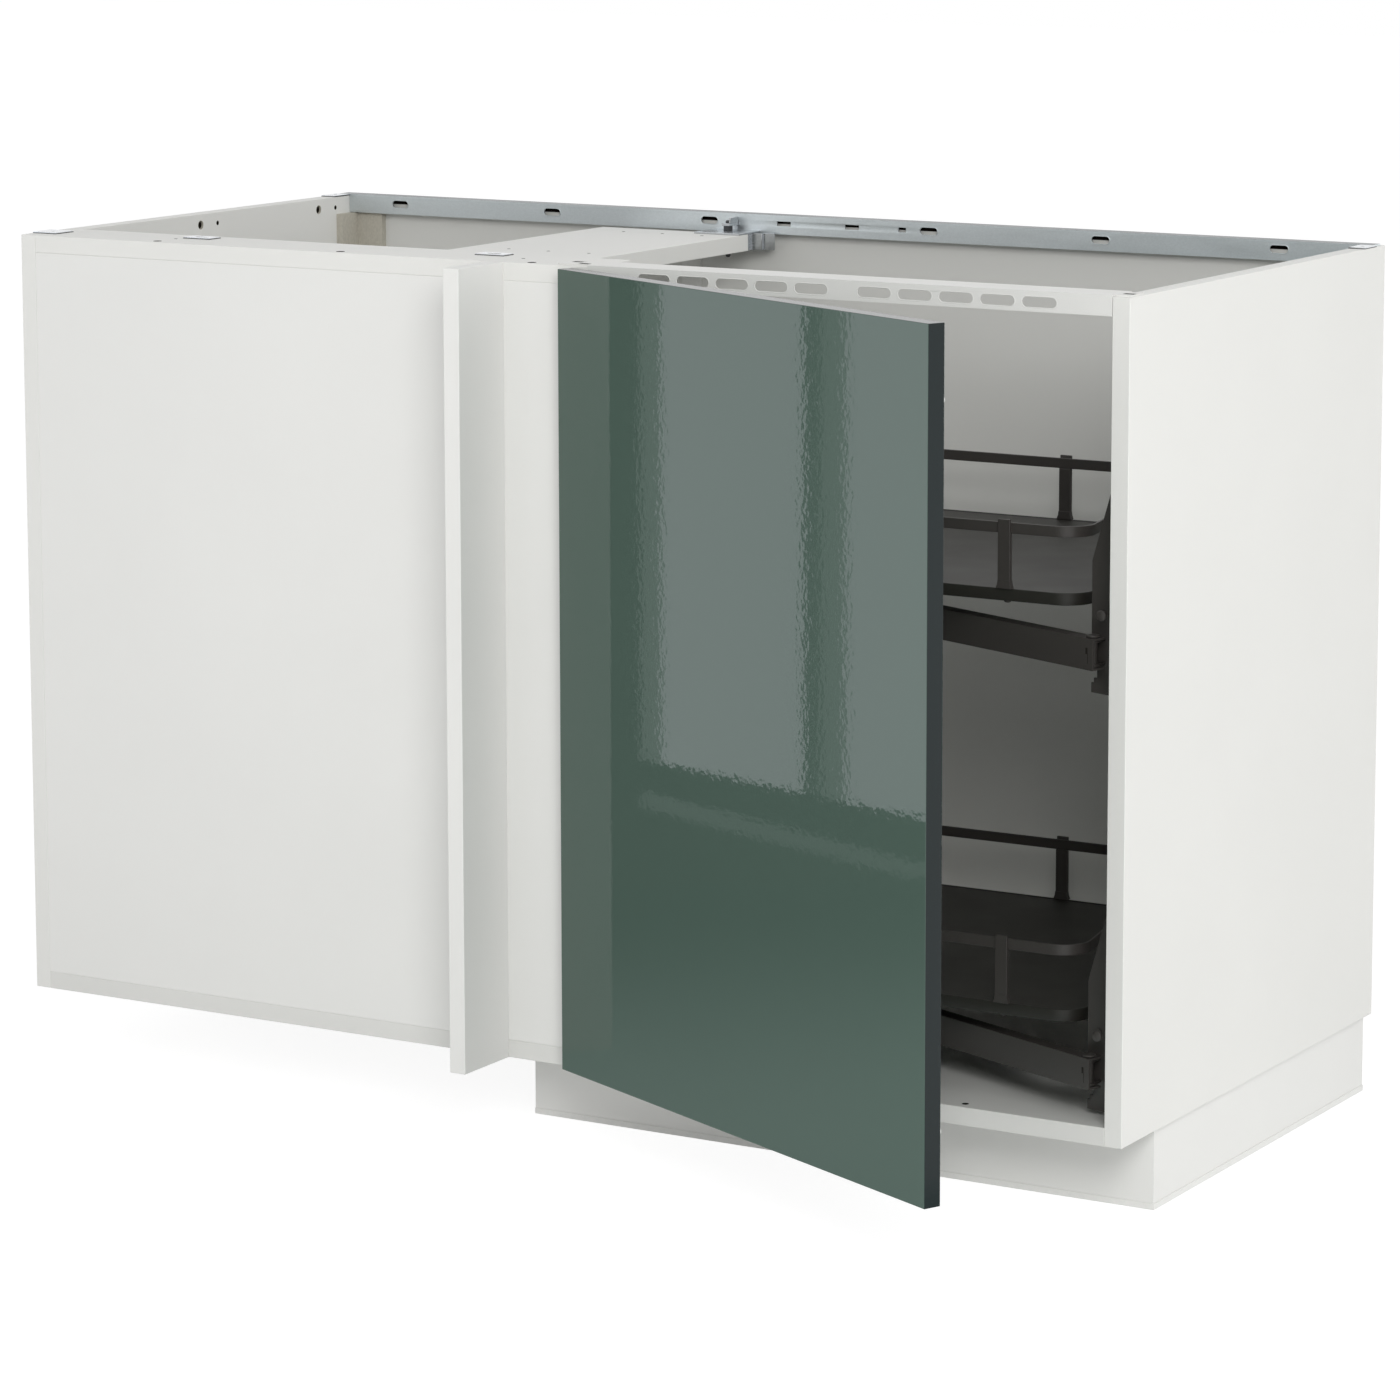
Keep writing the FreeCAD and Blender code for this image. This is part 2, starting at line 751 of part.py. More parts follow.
def make_hinges():
    """Mounting plates and channel arms on the stile, and the links that sit in the cups."""
    plates = []
    arms = []
    screws = []
    links = []
    face = opening_left
    for z in hinge_heights:
        plate = block(face, face + hinge_plate_thickness, hinge_plate_front, hinge_plate_back,
                      z - hinge_plate_half_height, z + hinge_plate_half_height)
        arm_left = face + hinge_plate_thickness
        channel = block(arm_left, arm_left + arm_width, arm_front, arm_back,
                        z - arm_half_height, z + arm_half_height)
        channel = channel.cut(block(arm_left + arm_web, arm_left + arm_width + overrun,
                                    arm_front - overrun, arm_back - arm_web,
                                    z - arm_half_height + arm_web, z + arm_half_height - arm_web))
        arms.append(channel)
        for side in (-1, 1):
            at = z + side * hinge_screw_spacing
            y = hinge_screw_setback
            plate = plate.cut(rod_along_x(face - overrun, arm_left + overrun, y, at,
                                          small_screw_r + screw_play))
            head = rod_along_x(arm_left, arm_left + small_head, y, at, small_head_r)
            shank = rod_along_x(face - small_screw_length, arm_left, y, at, small_screw_r)
            screws.append(joined([head, shank]))
            nodes["hinge_stile"] = nodes["hinge_stile"].cut(
                rod_along_x(face - small_screw_length - screw_play, face + overrun, y, at,
                            small_screw_r + screw_play))
        plates.append(plate)
        low = -door_gap - cup_depth + cup_wall + link_play
        link_half_height = arm_half_height - arm_web - link_play
        body = block(pivot_x + link_near, pivot_x + link_far, low, low + link_depth,
                     z - link_half_height, z + link_half_height)
        neck = block(pivot_x + link_neck_near, pivot_x + link_far, low, pivot_y + link_tail,
                     z - link_half_height, z + link_half_height)
        links.append(door_at_rest(joined([body, neck])))
    save("hinge_plates", group(plates))
    save("hinge_arms", group(arms))
    save("hinge_screws", group(screws))
    save("hinge_links", group(links))

    bumpers = []
    for z in (bottom_z + bumper_from_end, top_z - bumper_from_end):
        bumpers.append(door_at_rest(rod_along_y(inner_right + board / 2, -door_gap,
                                                bumper_height - door_gap, z, bumper_r)))
    save("door_bumpers", group(bumpers))


def tray_outline(z):
    points = ((tray_right, tray_front), (tray_front_left, tray_front), (tray_left, tray_waist),
              (tray_left, tray_back), (tray_back_right, tray_back))
    return rounded_outline(points, tray_radii, z)


def shelf_post(x, y, angle, z0, z1):
    """A flat upright on the tray's rim, its outer half running up outside the rail band."""
    left = x - post_width / 2
    right = x + post_width / 2
    foot = block(left, right, y - post_steel, y + post_steel, z0, z1)
    lap = block(left, right, y - post_steel, y, z0, z1 + band_height + post_cap)
    return turned(joined([foot, lap]), angle, x, y)


def post_on_edge(x0, y0, x1, y1, share, z0, z1):
    """An upright on a slanting edge, whose outer side is on the right of its direction."""
    angle = math.degrees(math.atan2(y1 - y0, x1 - x0))
    return shelf_post(x0 + (x1 - x0) * share, y0 + (y1 - y0) * share, angle, z0, z1)


def make_tray(name, lift):
    base_z = tray_base_bottom + lift
    base_top = base_z + tray_base_height
    pivot_z = base_z - arm_below_base
    base = slab(tray_outline(base_z), tray_base_height)
    inner = tray_outline(base_top - tray_recess).makeOffset2D(-tray_lip)
    base = base.cut(slab(inner, tray_recess + overrun))
    tray_x = arm_pivot_x + arm_length * math.cos(math.radians(arm_rest_angle))
    tray_y = arm_pivot_y + arm_length * math.sin(math.radians(arm_rest_angle))
    save(name + "_tray_base", base)

    mat = tray_outline(base_top - tray_recess).makeOffset2D(-tray_lip - mat_play)
    save(name + "_tray_mat", slab(mat, mat_thickness))

    band_z = base_z + band_bottom
    band = slab(tray_outline(band_z), band_height)
    band = band.cut(slab(tray_outline(band_z - overrun).makeOffset2D(-band_steel),
                         band_height + overrun * 2))
    save(name + "_tray_band", band)

    posts = [shelf_post(x, tray_front, 0, base_top, band_z)
             for x in (tray_right - front_post_right_inset, tray_front_left + front_post_left_inset)]
    posts += [shelf_post(x, tray_back, half_turn, base_top, band_z)
              for x in (tray_right - back_post_right_inset, tray_left + back_post_left_inset)]
    posts.append(post_on_edge(tray_right, tray_front, tray_back_right, tray_back,
                              tray_right_post_share, base_top, band_z))
    posts.append(post_on_edge(tray_left, tray_waist, tray_front_left, tray_front,
                              tray_slant_post_share, base_top, band_z))
    save(name + "_tray_posts", group(posts))

    carrier = obround_z(tray_x + swivel_plate_length / 2 - swivel_boss_r, tray_y,
                        swivel_plate_length, swivel_boss_r * 2, base_z - swivel_plate, base_z)
    swivel = joined([carrier,
                     rod(tray_x, tray_y, pivot_z + swivel_play, base_z, swivel_boss_r),
                     rod(tray_x, tray_y, pivot_z - arm_bar_height, base_z, swivel_pin_r)])
    save(name + "_swivel", swivel)

    bar = block(-arm_bar_width / 2, arm_length, -arm_bar_width / 2, arm_bar_width / 2,
                pivot_z - arm_bar_height, pivot_z)
    bar = bar.cut(block(-arm_bar_width, arm_hollow, -arm_bar_width, arm_bar_width / 2 - arm_skin,
                        pivot_z - arm_bar_height + arm_skin, pivot_z - arm_skin))
    arm = joined([bar, rod(arm_length, 0, pivot_z - arm_bar_height, pivot_z, swivel_boss_r)])
    arm = drilled(arm, [rod(0, 0, pivot_z - arm_bar_height - overrun, pivot_z + overrun,
                            arm_pin_r + pin_play),
                        rod(arm_length, 0, pivot_z - arm_bar_height - overrun, pivot_z + overrun,
                            swivel_pin_r + pin_play)])
    arm.rotate(V(0, 0, 0), UP, arm_rest_angle)
    arm.translate(V(arm_pivot_x, arm_pivot_y, 0))
    save(name + "_arm", arm)

    make_bracket(name, bracket_bottom + lift, pivot_z)


def make_bracket(name, z0, arm_top):
    """Folded steel bracket on the right side panel, with two ears inside the arm's open end."""
    top = z0 + bracket_height
    corners = (V(bracket_left, bracket_web_front, z0), V(inner_right, bracket_web_front, z0),
               V(inner_right, bracket_web_front, top),
               V(inner_right - bracket_neck_width, bracket_web_front, top),
               V(inner_right - bracket_neck_width, bracket_web_front, z0 + bracket_neck),
               V(bracket_left, bracket_web_front, z0 + bracket_shoulder))
    web = Part.Face(Part.makePolygon(list(corners) + [corners[0]])).extrude(V(0, bracket_steel, 0))
    flange = block(inner_right - bracket_steel, inner_right, bracket_web_front,
                   bracket_flange_back, z0, top)
    ears = []
    inside = arm_skin + bracket_ear_play
    for low in (arm_top - inside - bracket_steel, arm_top - arm_bar_height + inside):
        ears.append(block(arm_pivot_x - bracket_ear_half, arm_pivot_x + bracket_ear_half,
                          arm_pivot_y, bracket_web_front, low, low + bracket_steel))
        ears.append(rod(arm_pivot_x, arm_pivot_y, low, low + bracket_steel, bracket_ear_half))
    pin_low = arm_top - arm_bar_height
    pin_high = arm_top + bracket_ear_play
    bracket = joined([web, flange] + ears)
    bracket = bracket.cut(rod(arm_pivot_x, arm_pivot_y, pin_low - overrun, pin_high + overrun,
                              arm_pin_r))
    screws = []
    for z in (z0 + bracket_shoulder / 4, z0 + bracket_shoulder):
        y = (bracket_web_front + bracket_flange_back) / 2
        bracket = bracket.cut(rod_along_x(inner_right - bracket_steel - overrun,
                                          inner_right + overrun, y, z, small_screw_r + screw_play))
        nodes["side_panel_right"] = nodes["side_panel_right"].cut(
            rod_along_x(inner_right - overrun, inner_right + small_screw_length + screw_play, y, z,
                        small_screw_r + screw_play))
        head = rod_along_x(inner_right - bracket_steel - small_head, inner_right - bracket_steel,
                           y, z, small_head_r)
        shank = rod_along_x(inner_right - bracket_steel, inner_right + small_screw_length, y, z,
                            small_screw_r)
        screws.append(joined([head, shank]))
    rivet = rod_along_y(bracket_left + rivet_from_edge, bracket_web_front - rivet_head,
                        bracket_web_front, z0 + rivet_rise, rivet_r)
    save(name + "_bracket", joined([bracket, rivet]))
    save(name + "_bracket_screws", group(screws))
    pin = joined([rod(arm_pivot_x, arm_pivot_y, pin_low, pin_high, arm_pin_r),
                  rod(arm_pivot_x, arm_pivot_y, pin_high, pin_high + pin_head, pin_head_r)])
    save(name + "_arm_pin", pin)


def make_joints():
    screws = [side_screw(y, bottom_joint_z) for y in bottom_joint_ys]
    screws += [side_screw(y, top_screw_z) for y in top_screw_setbacks]
    save("carcass_screws", group(screws))
    save("bottom_dowels", group([bottom_dowel(y, 0) for y in bottom_joint_ys]))


make_side_panels()
make_boards()
make_back()
make_suspension_rail()
make_rail_clamp()
make_vent_rail()
make_top_plates()
make_legs()
make_plinth()
make_door()
make_hinges()
for index in range(tray_count):
    make_tray(tray_names[index], index * tray_spacing)
make_joints()

# The shared frame's origin is the bottom centre of the box round everything at rest
rest = math.radians(door_open_angle)
corner_x = door_width - pivot_from_edge - edge_round
corner_y = pivot_from_front - edge_round
door_reach = pivot_y - corner_x * math.sin(rest) - corner_y * math.cos(rest) - edge_round
shift = V(-width / 2, -(depth + door_reach) / 2, 0)
for name, shape in nodes.items():
    shape.translate(shift)
    shape.exportStep("parts/" + name + ".step")

whole = Part.makeCompound(list(nodes.values())).BoundBox
print("box", whole.XMin, whole.XMax, whole.YMin, whole.YMax, whole.ZMin, whole.ZMax)
print("nodes", len(nodes))
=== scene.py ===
"""Looks for the corner base cabinet: boards, steel parts, glossy door, trays and a plain studio."""

import math

import bmesh
import bpy
from bpy.props import FloatProperty, FloatVectorProperty, PointerProperty
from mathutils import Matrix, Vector


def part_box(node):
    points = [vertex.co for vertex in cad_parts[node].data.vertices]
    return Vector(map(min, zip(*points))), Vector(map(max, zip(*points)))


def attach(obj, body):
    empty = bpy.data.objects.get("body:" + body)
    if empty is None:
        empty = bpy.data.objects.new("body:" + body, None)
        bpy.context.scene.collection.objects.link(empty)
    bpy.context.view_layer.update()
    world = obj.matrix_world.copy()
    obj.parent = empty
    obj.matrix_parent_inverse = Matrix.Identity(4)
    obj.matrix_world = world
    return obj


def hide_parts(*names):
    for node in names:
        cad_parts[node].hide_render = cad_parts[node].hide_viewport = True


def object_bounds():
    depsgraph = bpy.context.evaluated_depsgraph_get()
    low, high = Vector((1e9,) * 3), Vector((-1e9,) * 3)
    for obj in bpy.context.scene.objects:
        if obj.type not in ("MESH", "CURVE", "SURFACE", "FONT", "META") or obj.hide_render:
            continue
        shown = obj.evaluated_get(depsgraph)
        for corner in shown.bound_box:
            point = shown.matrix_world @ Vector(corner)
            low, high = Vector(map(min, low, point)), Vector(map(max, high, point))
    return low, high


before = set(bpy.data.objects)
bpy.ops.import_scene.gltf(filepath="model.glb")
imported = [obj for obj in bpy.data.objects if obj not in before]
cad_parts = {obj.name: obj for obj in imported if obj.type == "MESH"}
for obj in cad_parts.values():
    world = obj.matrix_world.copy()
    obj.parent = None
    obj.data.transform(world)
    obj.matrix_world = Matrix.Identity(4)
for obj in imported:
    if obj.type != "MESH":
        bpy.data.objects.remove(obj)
CAD_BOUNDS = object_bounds()

bl_info = {
    "name": "Corner base cabinet",
    "version": (1, 0, 0),
    "blender": (4, 5, 0),
    "location": "3D View > Sidebar > Cabinet",
    "description": "Dresses the corner base cabinet with its finishes, fittings and studio",
    "category": "Object",
}

TRAYS = ("lower", "upper")
DOOR_AJAR = math.radians(25.0)

# Points closer than MERGE are one, and lines inside a face flatter than FLAT are cleared
MERGE = 1e-6
FLAT = math.radians(0.5)
# Edges sharper than ROUNDED are rounded, and edges sharper than FOLDED stay crisp in the shading
ROUNDED = math.radians(30.0)
FOLDED = math.radians(20.0)
FOLDED_REPEAT = math.radians(35.0)

# Sockets of a Mix node that blends colours: its factor, its two colours and its result
MIX_INPUTS = (0, 6, 7)
MIX_RESULT = 2
# A noise runs mostly between these values
NOISE_LOW = 0.25
NOISE_HIGH = 0.75

# The thin backs are rougher than the other boards by this
BACK_DULLER = 0.1
# A flush drilling's near-black end, painted shade that stands for the shadow in the hole, reaches this
# share of its thickness down, so that its face shows
FLUSH_DEPTH = 0.9
# A lining takes up this share of its drilling's depth
LINING_LENGTH = 0.96

# The clamp's bolt: shares of its radius for tip, thread, rim and middle of the head, and nut
BOLT_TIP = 0.6
BOLT_THREAD = 0.92
BOLT_HEAD_RIM = 2.2
BOLT_HEAD_WIDE = 2.4
BOLT_NUT = 1.9
# The thread starts above the board by this share of the head's height
THREAD_START = 1.6
# Tone of the bolt and its nut, as a share of the plated colour
BOLT_TINT = 0.14

# Tone of the top plates, as a share of the plated colour
PLATE_TINT = 1.25
# Radius of the painted shade in a corner plate's hole, as a share of the sheet
PLATE_HOLE = 1.4
# Vent slots in each of the two rows, which start from the opening's sides
VENT_ROW = 5

# Height of the ribs and the grips, as shares of the leg's socket and foot
RIB_HEIGHT = 0.7
GRIP_HEIGHT = 0.6

# A small screw's head: its top as a share of its radius, and how far it sinks as a share of its rise
HEAD_TOP = 0.9
HEAD_SUNK = 0.7

# A post's flared foot, from the shelf upwards: shares of its half width and of its height
FOOT_FLARE = ((1.22, 0.15), (1.06, 0.5), (0.98, 1.0))
FOOT_BASE = 1.3
# Posts wider than this many half feet, or deeper than one, face sideways and have no foot
POST_WIDE = 2.2
NUB_WIDE = 0.55
NUB_TIP = 0.3
# The rivet's dome, as shares of its radius
RIVET_SHOULDER = 0.85
RIVET_TOP = 0.45
# The bracket's stepped notch: share of its height over the step, and of its depth under it
NOTCH_STEP = 0.7
NOTCH_INNER = 0.45
# From the arm's slot to the seam beside it, as a share of the slot's width
SEAM = 0.7

# The reflected window, on a wall at one X: places along Y and up Z in metres
WINDOW_X = -1.1
WINDOW_TOP = 2.0
STEP = 0.002
WALL_NEAR = -0.30
WALL_FAR = -1.05
BAND_NEAR = -0.434
BAND_END = -0.459
PANE_NEAR = -0.434
MULLION_NEAR = -0.635
MULLION_FAR = -0.655
SECOND_BAND = -0.687
PANE_FAR = -1.0
PANE_START = 0.165
PANE_END = 0.025
LINE_START = 0.126
LINE_FALL = 0.30
LINE_WIDTH = 0.022
# Colour and strength of its sheets
WINDOW_GLOWS = (("dim wall", (0.9, 1.0, 0.92), 0.12), ("window pane", (0.97, 0.99, 1.04), 1.5),
                ("window edge", (0.9, 1.0, 0.96), 0.6), ("half light", (0.9, 1.0, 0.96), 0.42),
                ("window bar", (0.9, 1.0, 0.94), 0.2))

# The reflected ground: its height and its right and back edges, and where it is dark and light along X
GROUND = 0.004
GROUND_RIGHT = 0.9
GROUND_BACK = -0.2
GROUND_DARK = -1.0
GROUND_LIGHT = 0.10
GROUND_COLOUR = (0.86, 1.0, 0.97)
GROUND_LEVELS = (0.12, 0.68)

# Colours of the floor, as it lights the cabinet and as it is seen, and its own glow
FLOOR_BOUNCE = (0.94, 0.94, 0.94, 1)
FLOOR_SEEN = (0.22, 0.22, 0.22, 1)
FLOOR_GLOW = 0.9

# Lights by their power's setting: name, place, point aimed at, width and height, colour
LIGHTS = {
    "key": ("front light", (-1.4, -4.85, 1.35), (0.0, 0.0, 0.4), (4.0, 2.5), (1.0, 0.995, 0.985)),
    "side": ("right light", (4.9, 0.3, 1.7), (0.5, 0.15, 0.42), (3.2, 2.8), (1.0, 1.0, 0.995)),
    "low": ("door light", (2.7, -3.4, 2.5), (0.45, -0.1, 0.1), (1.8, 1.6), (1.0, 1.0, 0.99)),
    "top": ("top light", (0.2, -0.2, 3.4), (0.2, 0.1, 0.8), (2.6, 2.0), (1.0, 1.0, 0.99)),
}

# Camera: place in metres, tilt and turn in degrees, lens and sensor in millimetres
CAMERA_PLACE = (2.5995, -4.25213, 1.352)
CAMERA_DOWN = 8.165
CAMERA_TURN = 29.898
CAMERA_LENS = 128.1
CAMERA_SENSOR = 36.0
CAMERA_SHIFT = (-0.0429, -0.15)
CAMERA_REACH = 100.0


def colour_prop(name, words, default):
    return FloatVectorProperty(name=name, description=words, default=default, size=3,
                               min=0, max=1, subtype="COLOR")


def length_prop(name, words, default):
    return FloatProperty(name=name, description=words, default=default, min=0, unit="LENGTH")


def lengths_prop(name, words, *default):
    return FloatVectorProperty(name=name, description=words, default=default, size=len(default),
                               unit="LENGTH")


def share_prop(name, words, default):
    return FloatProperty(name=name, description=words, default=default, min=0, max=1,
                         subtype="FACTOR")


def power_prop(name, words, default):
    return FloatProperty(name=name, description=words, default=default, min=0, unit="POWER")


class BoardLook(bpy.types.PropertyGroup):
    """Finishes of the boards."""
    melamine: colour_prop("Melamine", "Colour of the carcass boards", (0.78, 0.78, 0.755))
    front: colour_prop("Front boards", "Colour of the blind panels and the post", (0.79, 0.79, 0.77))
    fibre: colour_prop("Back boards", "Colour of the thin backs", (0.70, 0.70, 0.675))
    chips: colour_prop("Raw board", "Colour of uncoated board", (0.50, 0.475, 0.41))
    sheen: share_prop("Roughness", "Roughness of the board faces", 0.45)
    inner: share_prop("Inner boards", "Tone of the bottom panel", 0.92)


class SteelLook(bpy.types.PropertyGroup):
    """Finishes and small shapes of the steel parts."""
    zinc: colour_prop("Galvanised", "Colour of the galvanised rail", (0.70, 0.75, 0.77))
    plated: colour_prop("Plated", "Colour of plates, screws and bolts", (0.56, 0.58, 0.60))
    coated: colour_prop("White coat", "Colour of the ventilation rail", (0.76, 0.76, 0.74))
    nickel: colour_prop("Nickel", "Colour of the hinges", (0.70, 0.69, 0.66))
    fold: length_prop("Sheet", "Thickness of the rails' sheet", 0.0015)
    sheet: length_prop("Strap", "Thickness of the clamp's strap", 0.002)
    hinge_ease: length_prop("Hinge edges", "Rounding of the hinges' edges", 0.0006)
    cup_ease: length_prop("Cup edges", "Rounding of the hinge cups' edges", 0.0004)
    rim_radius: length_prop("Slot rim", "Radius of the pressed rim round a slot", 0.0005)
    slot_length: length_prop("Slot length", "Length of the rail's slots", 0.021)
    slot_width: length_prop("Slot width", "Width of the rail's slots", 0.008)
    slot_pitch: length_prop("Slot pitch", "Distance from slot to slot", 0.2025)
    slot_drop: length_prop("Slot drop", "Middle of the slots under the rail's top", 0.009)
    slot_first: length_prop("First slot", "First slot from the rail's left end", 0.0835)
    slot_second: length_prop("Second row", "Second row of slots from the opening", 0.0705)
    backing: length_prop("Backing", "Backing strip behind the rail's web", 0.007)
    tab: length_prop("Tab", "Length of the ventilation rail's left tab", 0.037)
    vent_first: length_prop("First vent", "First vent slot from the rail's end", 0.075)
    vent_pitch: length_prop("Vent pitch", "Distance from vent slot to vent slot", 0.0434)
    vent_length: length_prop("Vent length", "Length of a vent slot", 0.036)
    vent_width: length_prop("Vent width", "Width of a vent slot", 0.010)
    vent_rim: length_prop("Vent lip", "Radius of the lip round a vent slot", 0.0007)
    hook: length_prop("Hook slots", "Hook slots from the middle of their tab", 0.008)
    hook_back: length_prop("Rear hook slot", "Rear hook slot behind the rail's front", 0.026)
    hook_front: length_prop("Front hook slot", "Front hook slot behind the rail's front", 0.013)
    hook_long: length_prop("Hook slot length", "Length of a hook slot", 0.012)
    hook_wide: length_prop("Hook slot width", "Width of a hook slot", 0.009)
    first_fold: length_prop("First fold", "Strap's first fold behind the board", 0.012)
    second_fold: length_prop("Second fold", "Strap's second fold beside the board", 0.009)
    third_fold: length_prop("Third fold", "Strap's third fold behind the board", 0.019)
    last_fold: length_prop("Strap's end", "Strap's end beside the board", 0.021)
    bolt_r: length_prop("Bolt", "Radius of the clamp's bolt", 0.003)
    bolt_head: length_prop("Bolt head", "Height of the bolt's head", 0.005)


class DrillingLook(bpy.types.PropertyGroup):
    """Drillings in the boards."""
    # The hole colour is painted shade: near black, it stands for the shadow inside drillings, slots and
    # the rail.
    hole: colour_prop("Hole", "Colour inside a drilling", (0.012, 0.010, 0.008))
    side_drop: length_prop("Side drop", "Side drillings under the panel's top", 0.012)
    side_wide: lengths_prop("Wide", "Wide side drillings before the rail", 0.284, 0.061)
    side_small: lengths_prop("Small", "Small side drillings before the rail", 0.253, 0.028)
    lone_back: length_prop("Lone drilling", "Lone side drilling before the rail", 0.0781)
    lone_drop: length_prop("Lone drop", "Lone side drilling under the panel's top", 0.042)
    mark_x: lengths_prop("Mark columns", "Marks from the cross board's side", 0.0505, 0.0995, 0.149)
    mark_y: lengths_prop("Mark rows", "Marks from the cross board's end", 0.269, 0.039)
    pilot_left: length_prop("Left pilot", "Pilot hole from the rail's left end", 0.151)
    pilot_right: length_prop("Right pilot", "Pilot hole from the rail's right end", 0.099)
    pilot_back: length_prop("Pilot setback", "Pilot holes behind the front", 0.040)
    dowel_left: length_prop("Left dowel", "First dowel hole from the rail's left end", 0.150)
    dowel_right: length_prop("Right dowel", "Last dowel hole from the rail's right end", 0.070)
    dowel_back: length_prop("Dowel setback", "Dowel holes behind the front", 0.010)
    wide_r: length_prop("Wide radius", "Radius of the wide side drillings", 0.005)
    small_r: length_prop("Small radius", "Radius of the small side drillings", 0.003)
    mark_r: length_prop("Mark radius", "Radius of the marks", 0.002)
    dowel_r: length_prop("Dowel radius", "Radius of the dowel holes", 0.0045)
    plug_r: length_prop("Plug", "Radius of the plug in the bottom panel", 0.0035)
    plug_side: length_prop("Plug inset", "Plug from the right side panel", 0.1527)
    plug_front: length_prop("Plug setback", "Plug behind the panel's front edge", 0.012)
    wall: length_prop("Lining", "Thickness of the raw lining", 0.0005)
    depth: length_prop("Depth", "Depth of the wide drillings' lining", 0.003)
    shallow: length_prop("Small depth", "Depth of the small drillings' lining", 0.0008)


class LegLook(bpy.types.PropertyGroup):
    """Places and sizes of the legs."""
    side: length_prop("Side inset", "Legs beside a panel or the post", 0.052)
    back: length_prop("Back inset", "Rear legs before the panel's back", 0.060)
    hidden: length_prop("Hidden leg", "Left front leg before the rear one", 0.235)
    behind: length_prop("Behind plinth", "Legs behind the plinth", 0.036)
    tube_r: length_prop("Tube", "Radius of a leg's tube", 0.017)
    socket_r: length_prop("Socket", "Radius of a leg's socket", 0.034)
    socket: length_prop("Socket height", "Height of a leg's socket", 0.010)
    foot_r: length_prop("Foot", "Radius of a leg's foot", 0.027)
    foot: length_prop("Foot height", "Height of a leg's foot", 0.009)
    rib_out: length_prop("Rib offset", "Socket ribs outside the middle of their ring", 0.003)
    rib_reach: length_prop("Rib length", "Length of a socket's rib", 0.012)
    rib_wall: length_prop("Rib", "Thickness of a socket's rib", 0.0016)
    grip_reach: length_prop("Grip length", "Length of a foot's grip", 0.0024)
    grip_wall: length_prop("Grip", "Thickness of a foot's grip", 0.003)
    leg_ease: length_prop("Leg edges", "Rounding of sockets and tubes", 0.001)
    foot_ease: length_prop("Foot edges", "Rounding of the feet", 0.0015)
    clip_ease: length_prop("Clip edges", "Rounding of the plinth's clips", 0.0006)


class ScrewLook(bpy.types.PropertyGroup):
    """Sizes of the screw heads."""
    wide_r: length_prop("Carcass head", "Radius of a carcass screw's head", 0.005)
    small_r: length_prop("Small head", "Radius of a small screw's head", 0.0033)
    rise: length_prop("Rise", "Height of the head's rim over its seat", 0.0004)
    recess: share_prop("Recess", "Recess for the tool, as a share of the head", 0.55)


class DoorLook(bpy.types.PropertyGroup):
    """Finish of the door."""
    lacquer: colour_prop("Lacquer", "Colour of the glossy face", (0.068, 0.110, 0.090))
    edge: colour_prop("Edge", "Colour of the door's edges", (0.004, 0.010, 0.011))
    bumper: colour_prop("Bumper", "Colour of the clear bumpers", (0.75, 0.75, 0.74))
    ripple: length_prop("Ripple", "Depth of the waves in the gloss", 0.00003)
    ripple_size: length_prop("Ripple size", "Distance from wave to wave", 0.006)


class TrayLook(bpy.types.PropertyGroup):
    """Finishes and small shapes of trays, arms and brackets."""
    coat: colour_prop("Coat", "Colour of the coated steel", (0.044, 0.040, 0.037))
    floor: colour_prop("Floor", "Colour of the tray floors", (0.018, 0.017, 0.014))
    plastic: colour_prop("Plastic", "Colour of the legs and clips", (0.02, 0.02, 0.02))
    ease: length_prop("Edges", "Rounding of the coated edges", 0.0006)
    foot_half: length_prop("Foot half", "Half the width of a post", 0.0065)
    foot_back: length_prop("Foot depth", "Depth of a post's foot", 0.0035)
    foot_rise: length_prop("Foot rise", "Height of a post's foot", 0.008)
    arm_turn: FloatProperty(name="Arm angle", description="Angle of the arms at rest, from +X",
                            default=math.radians(158.0), subtype="ANGLE")
    arm_half: length_prop("Arm half", "Half the width of an arm", 0.008)
    slot_wide: length_prop("Slot width", "Width of the slot in the arm's end", 0.0014)
    slot_high: length_prop("Slot height", "Height of the slot in the arm's end", 0.006)
    notch: length_prop("Notch", "Depth of the bracket's notch beside the arm", 0.006)
    notch_high: length_prop("Notch height", "Height of the bracket's notch", 0.015)
    rivet_r: length_prop("Rivet", "Radius of the bracket's rivet", 0.005)
    rivet_side: length_prop("Rivet inset", "Rivet from the bracket's free edge", 0.0195)
    rivet_rise: length_prop("Rivet height", "Rivet above the bracket's lower end", 0.082)
    bottom_slant: length_prop("Slant", "Rise of the bracket's lower edge", 0.005)


class StageLook(bpy.types.PropertyGroup):
    """Studio round the cabinet."""
    ambient: FloatProperty(name="Ambient", description="Strength of the even light",
                           default=0.53, min=0)
    key: power_prop("Key light", "Power of the large front light", 17.0)
    low: power_prop("Door light", "Power of the light over the open door", 90.0)
    top: power_prop("Top light", "Power of the light overhead", 4.0)
    side: power_prop("Side light", "Power of the light on the right", 37.0)
    floor_size: length_prop("Floor", "Length of the floor's sides", 40.0)


LOOKS = {"cabinet_boards": BoardLook, "cabinet_drillings": DrillingLook,
         "cabinet_steel": SteelLook, "cabinet_legs": LegLook,
         "cabinet_screws": ScrewLook, "cabinet_door": DoorLook,
         "cabinet_trays": TrayLook, "cabinet_stage": StageLook}


# Nodes

def feed(tree, socket, value):
    """Sets a socket to a constant, or joins it to another node's output."""
    if isinstance(value, bpy.types.NodeSocket):
        tree.links.new(value, socket)
    else:
        socket.default_value = value


def add_node(tree, kind, options=None, **inputs):
    """A node with its options and, by name, its inputs: constants or other nodes' outputs."""
    node = tree.nodes.new(kind)
    for key, value in (options or {}).items():
        setattr(node, key, value)
    for key, value in inputs.items():
        feed(tree, node.inputs[key.replace("_", " ")], value)
    return node


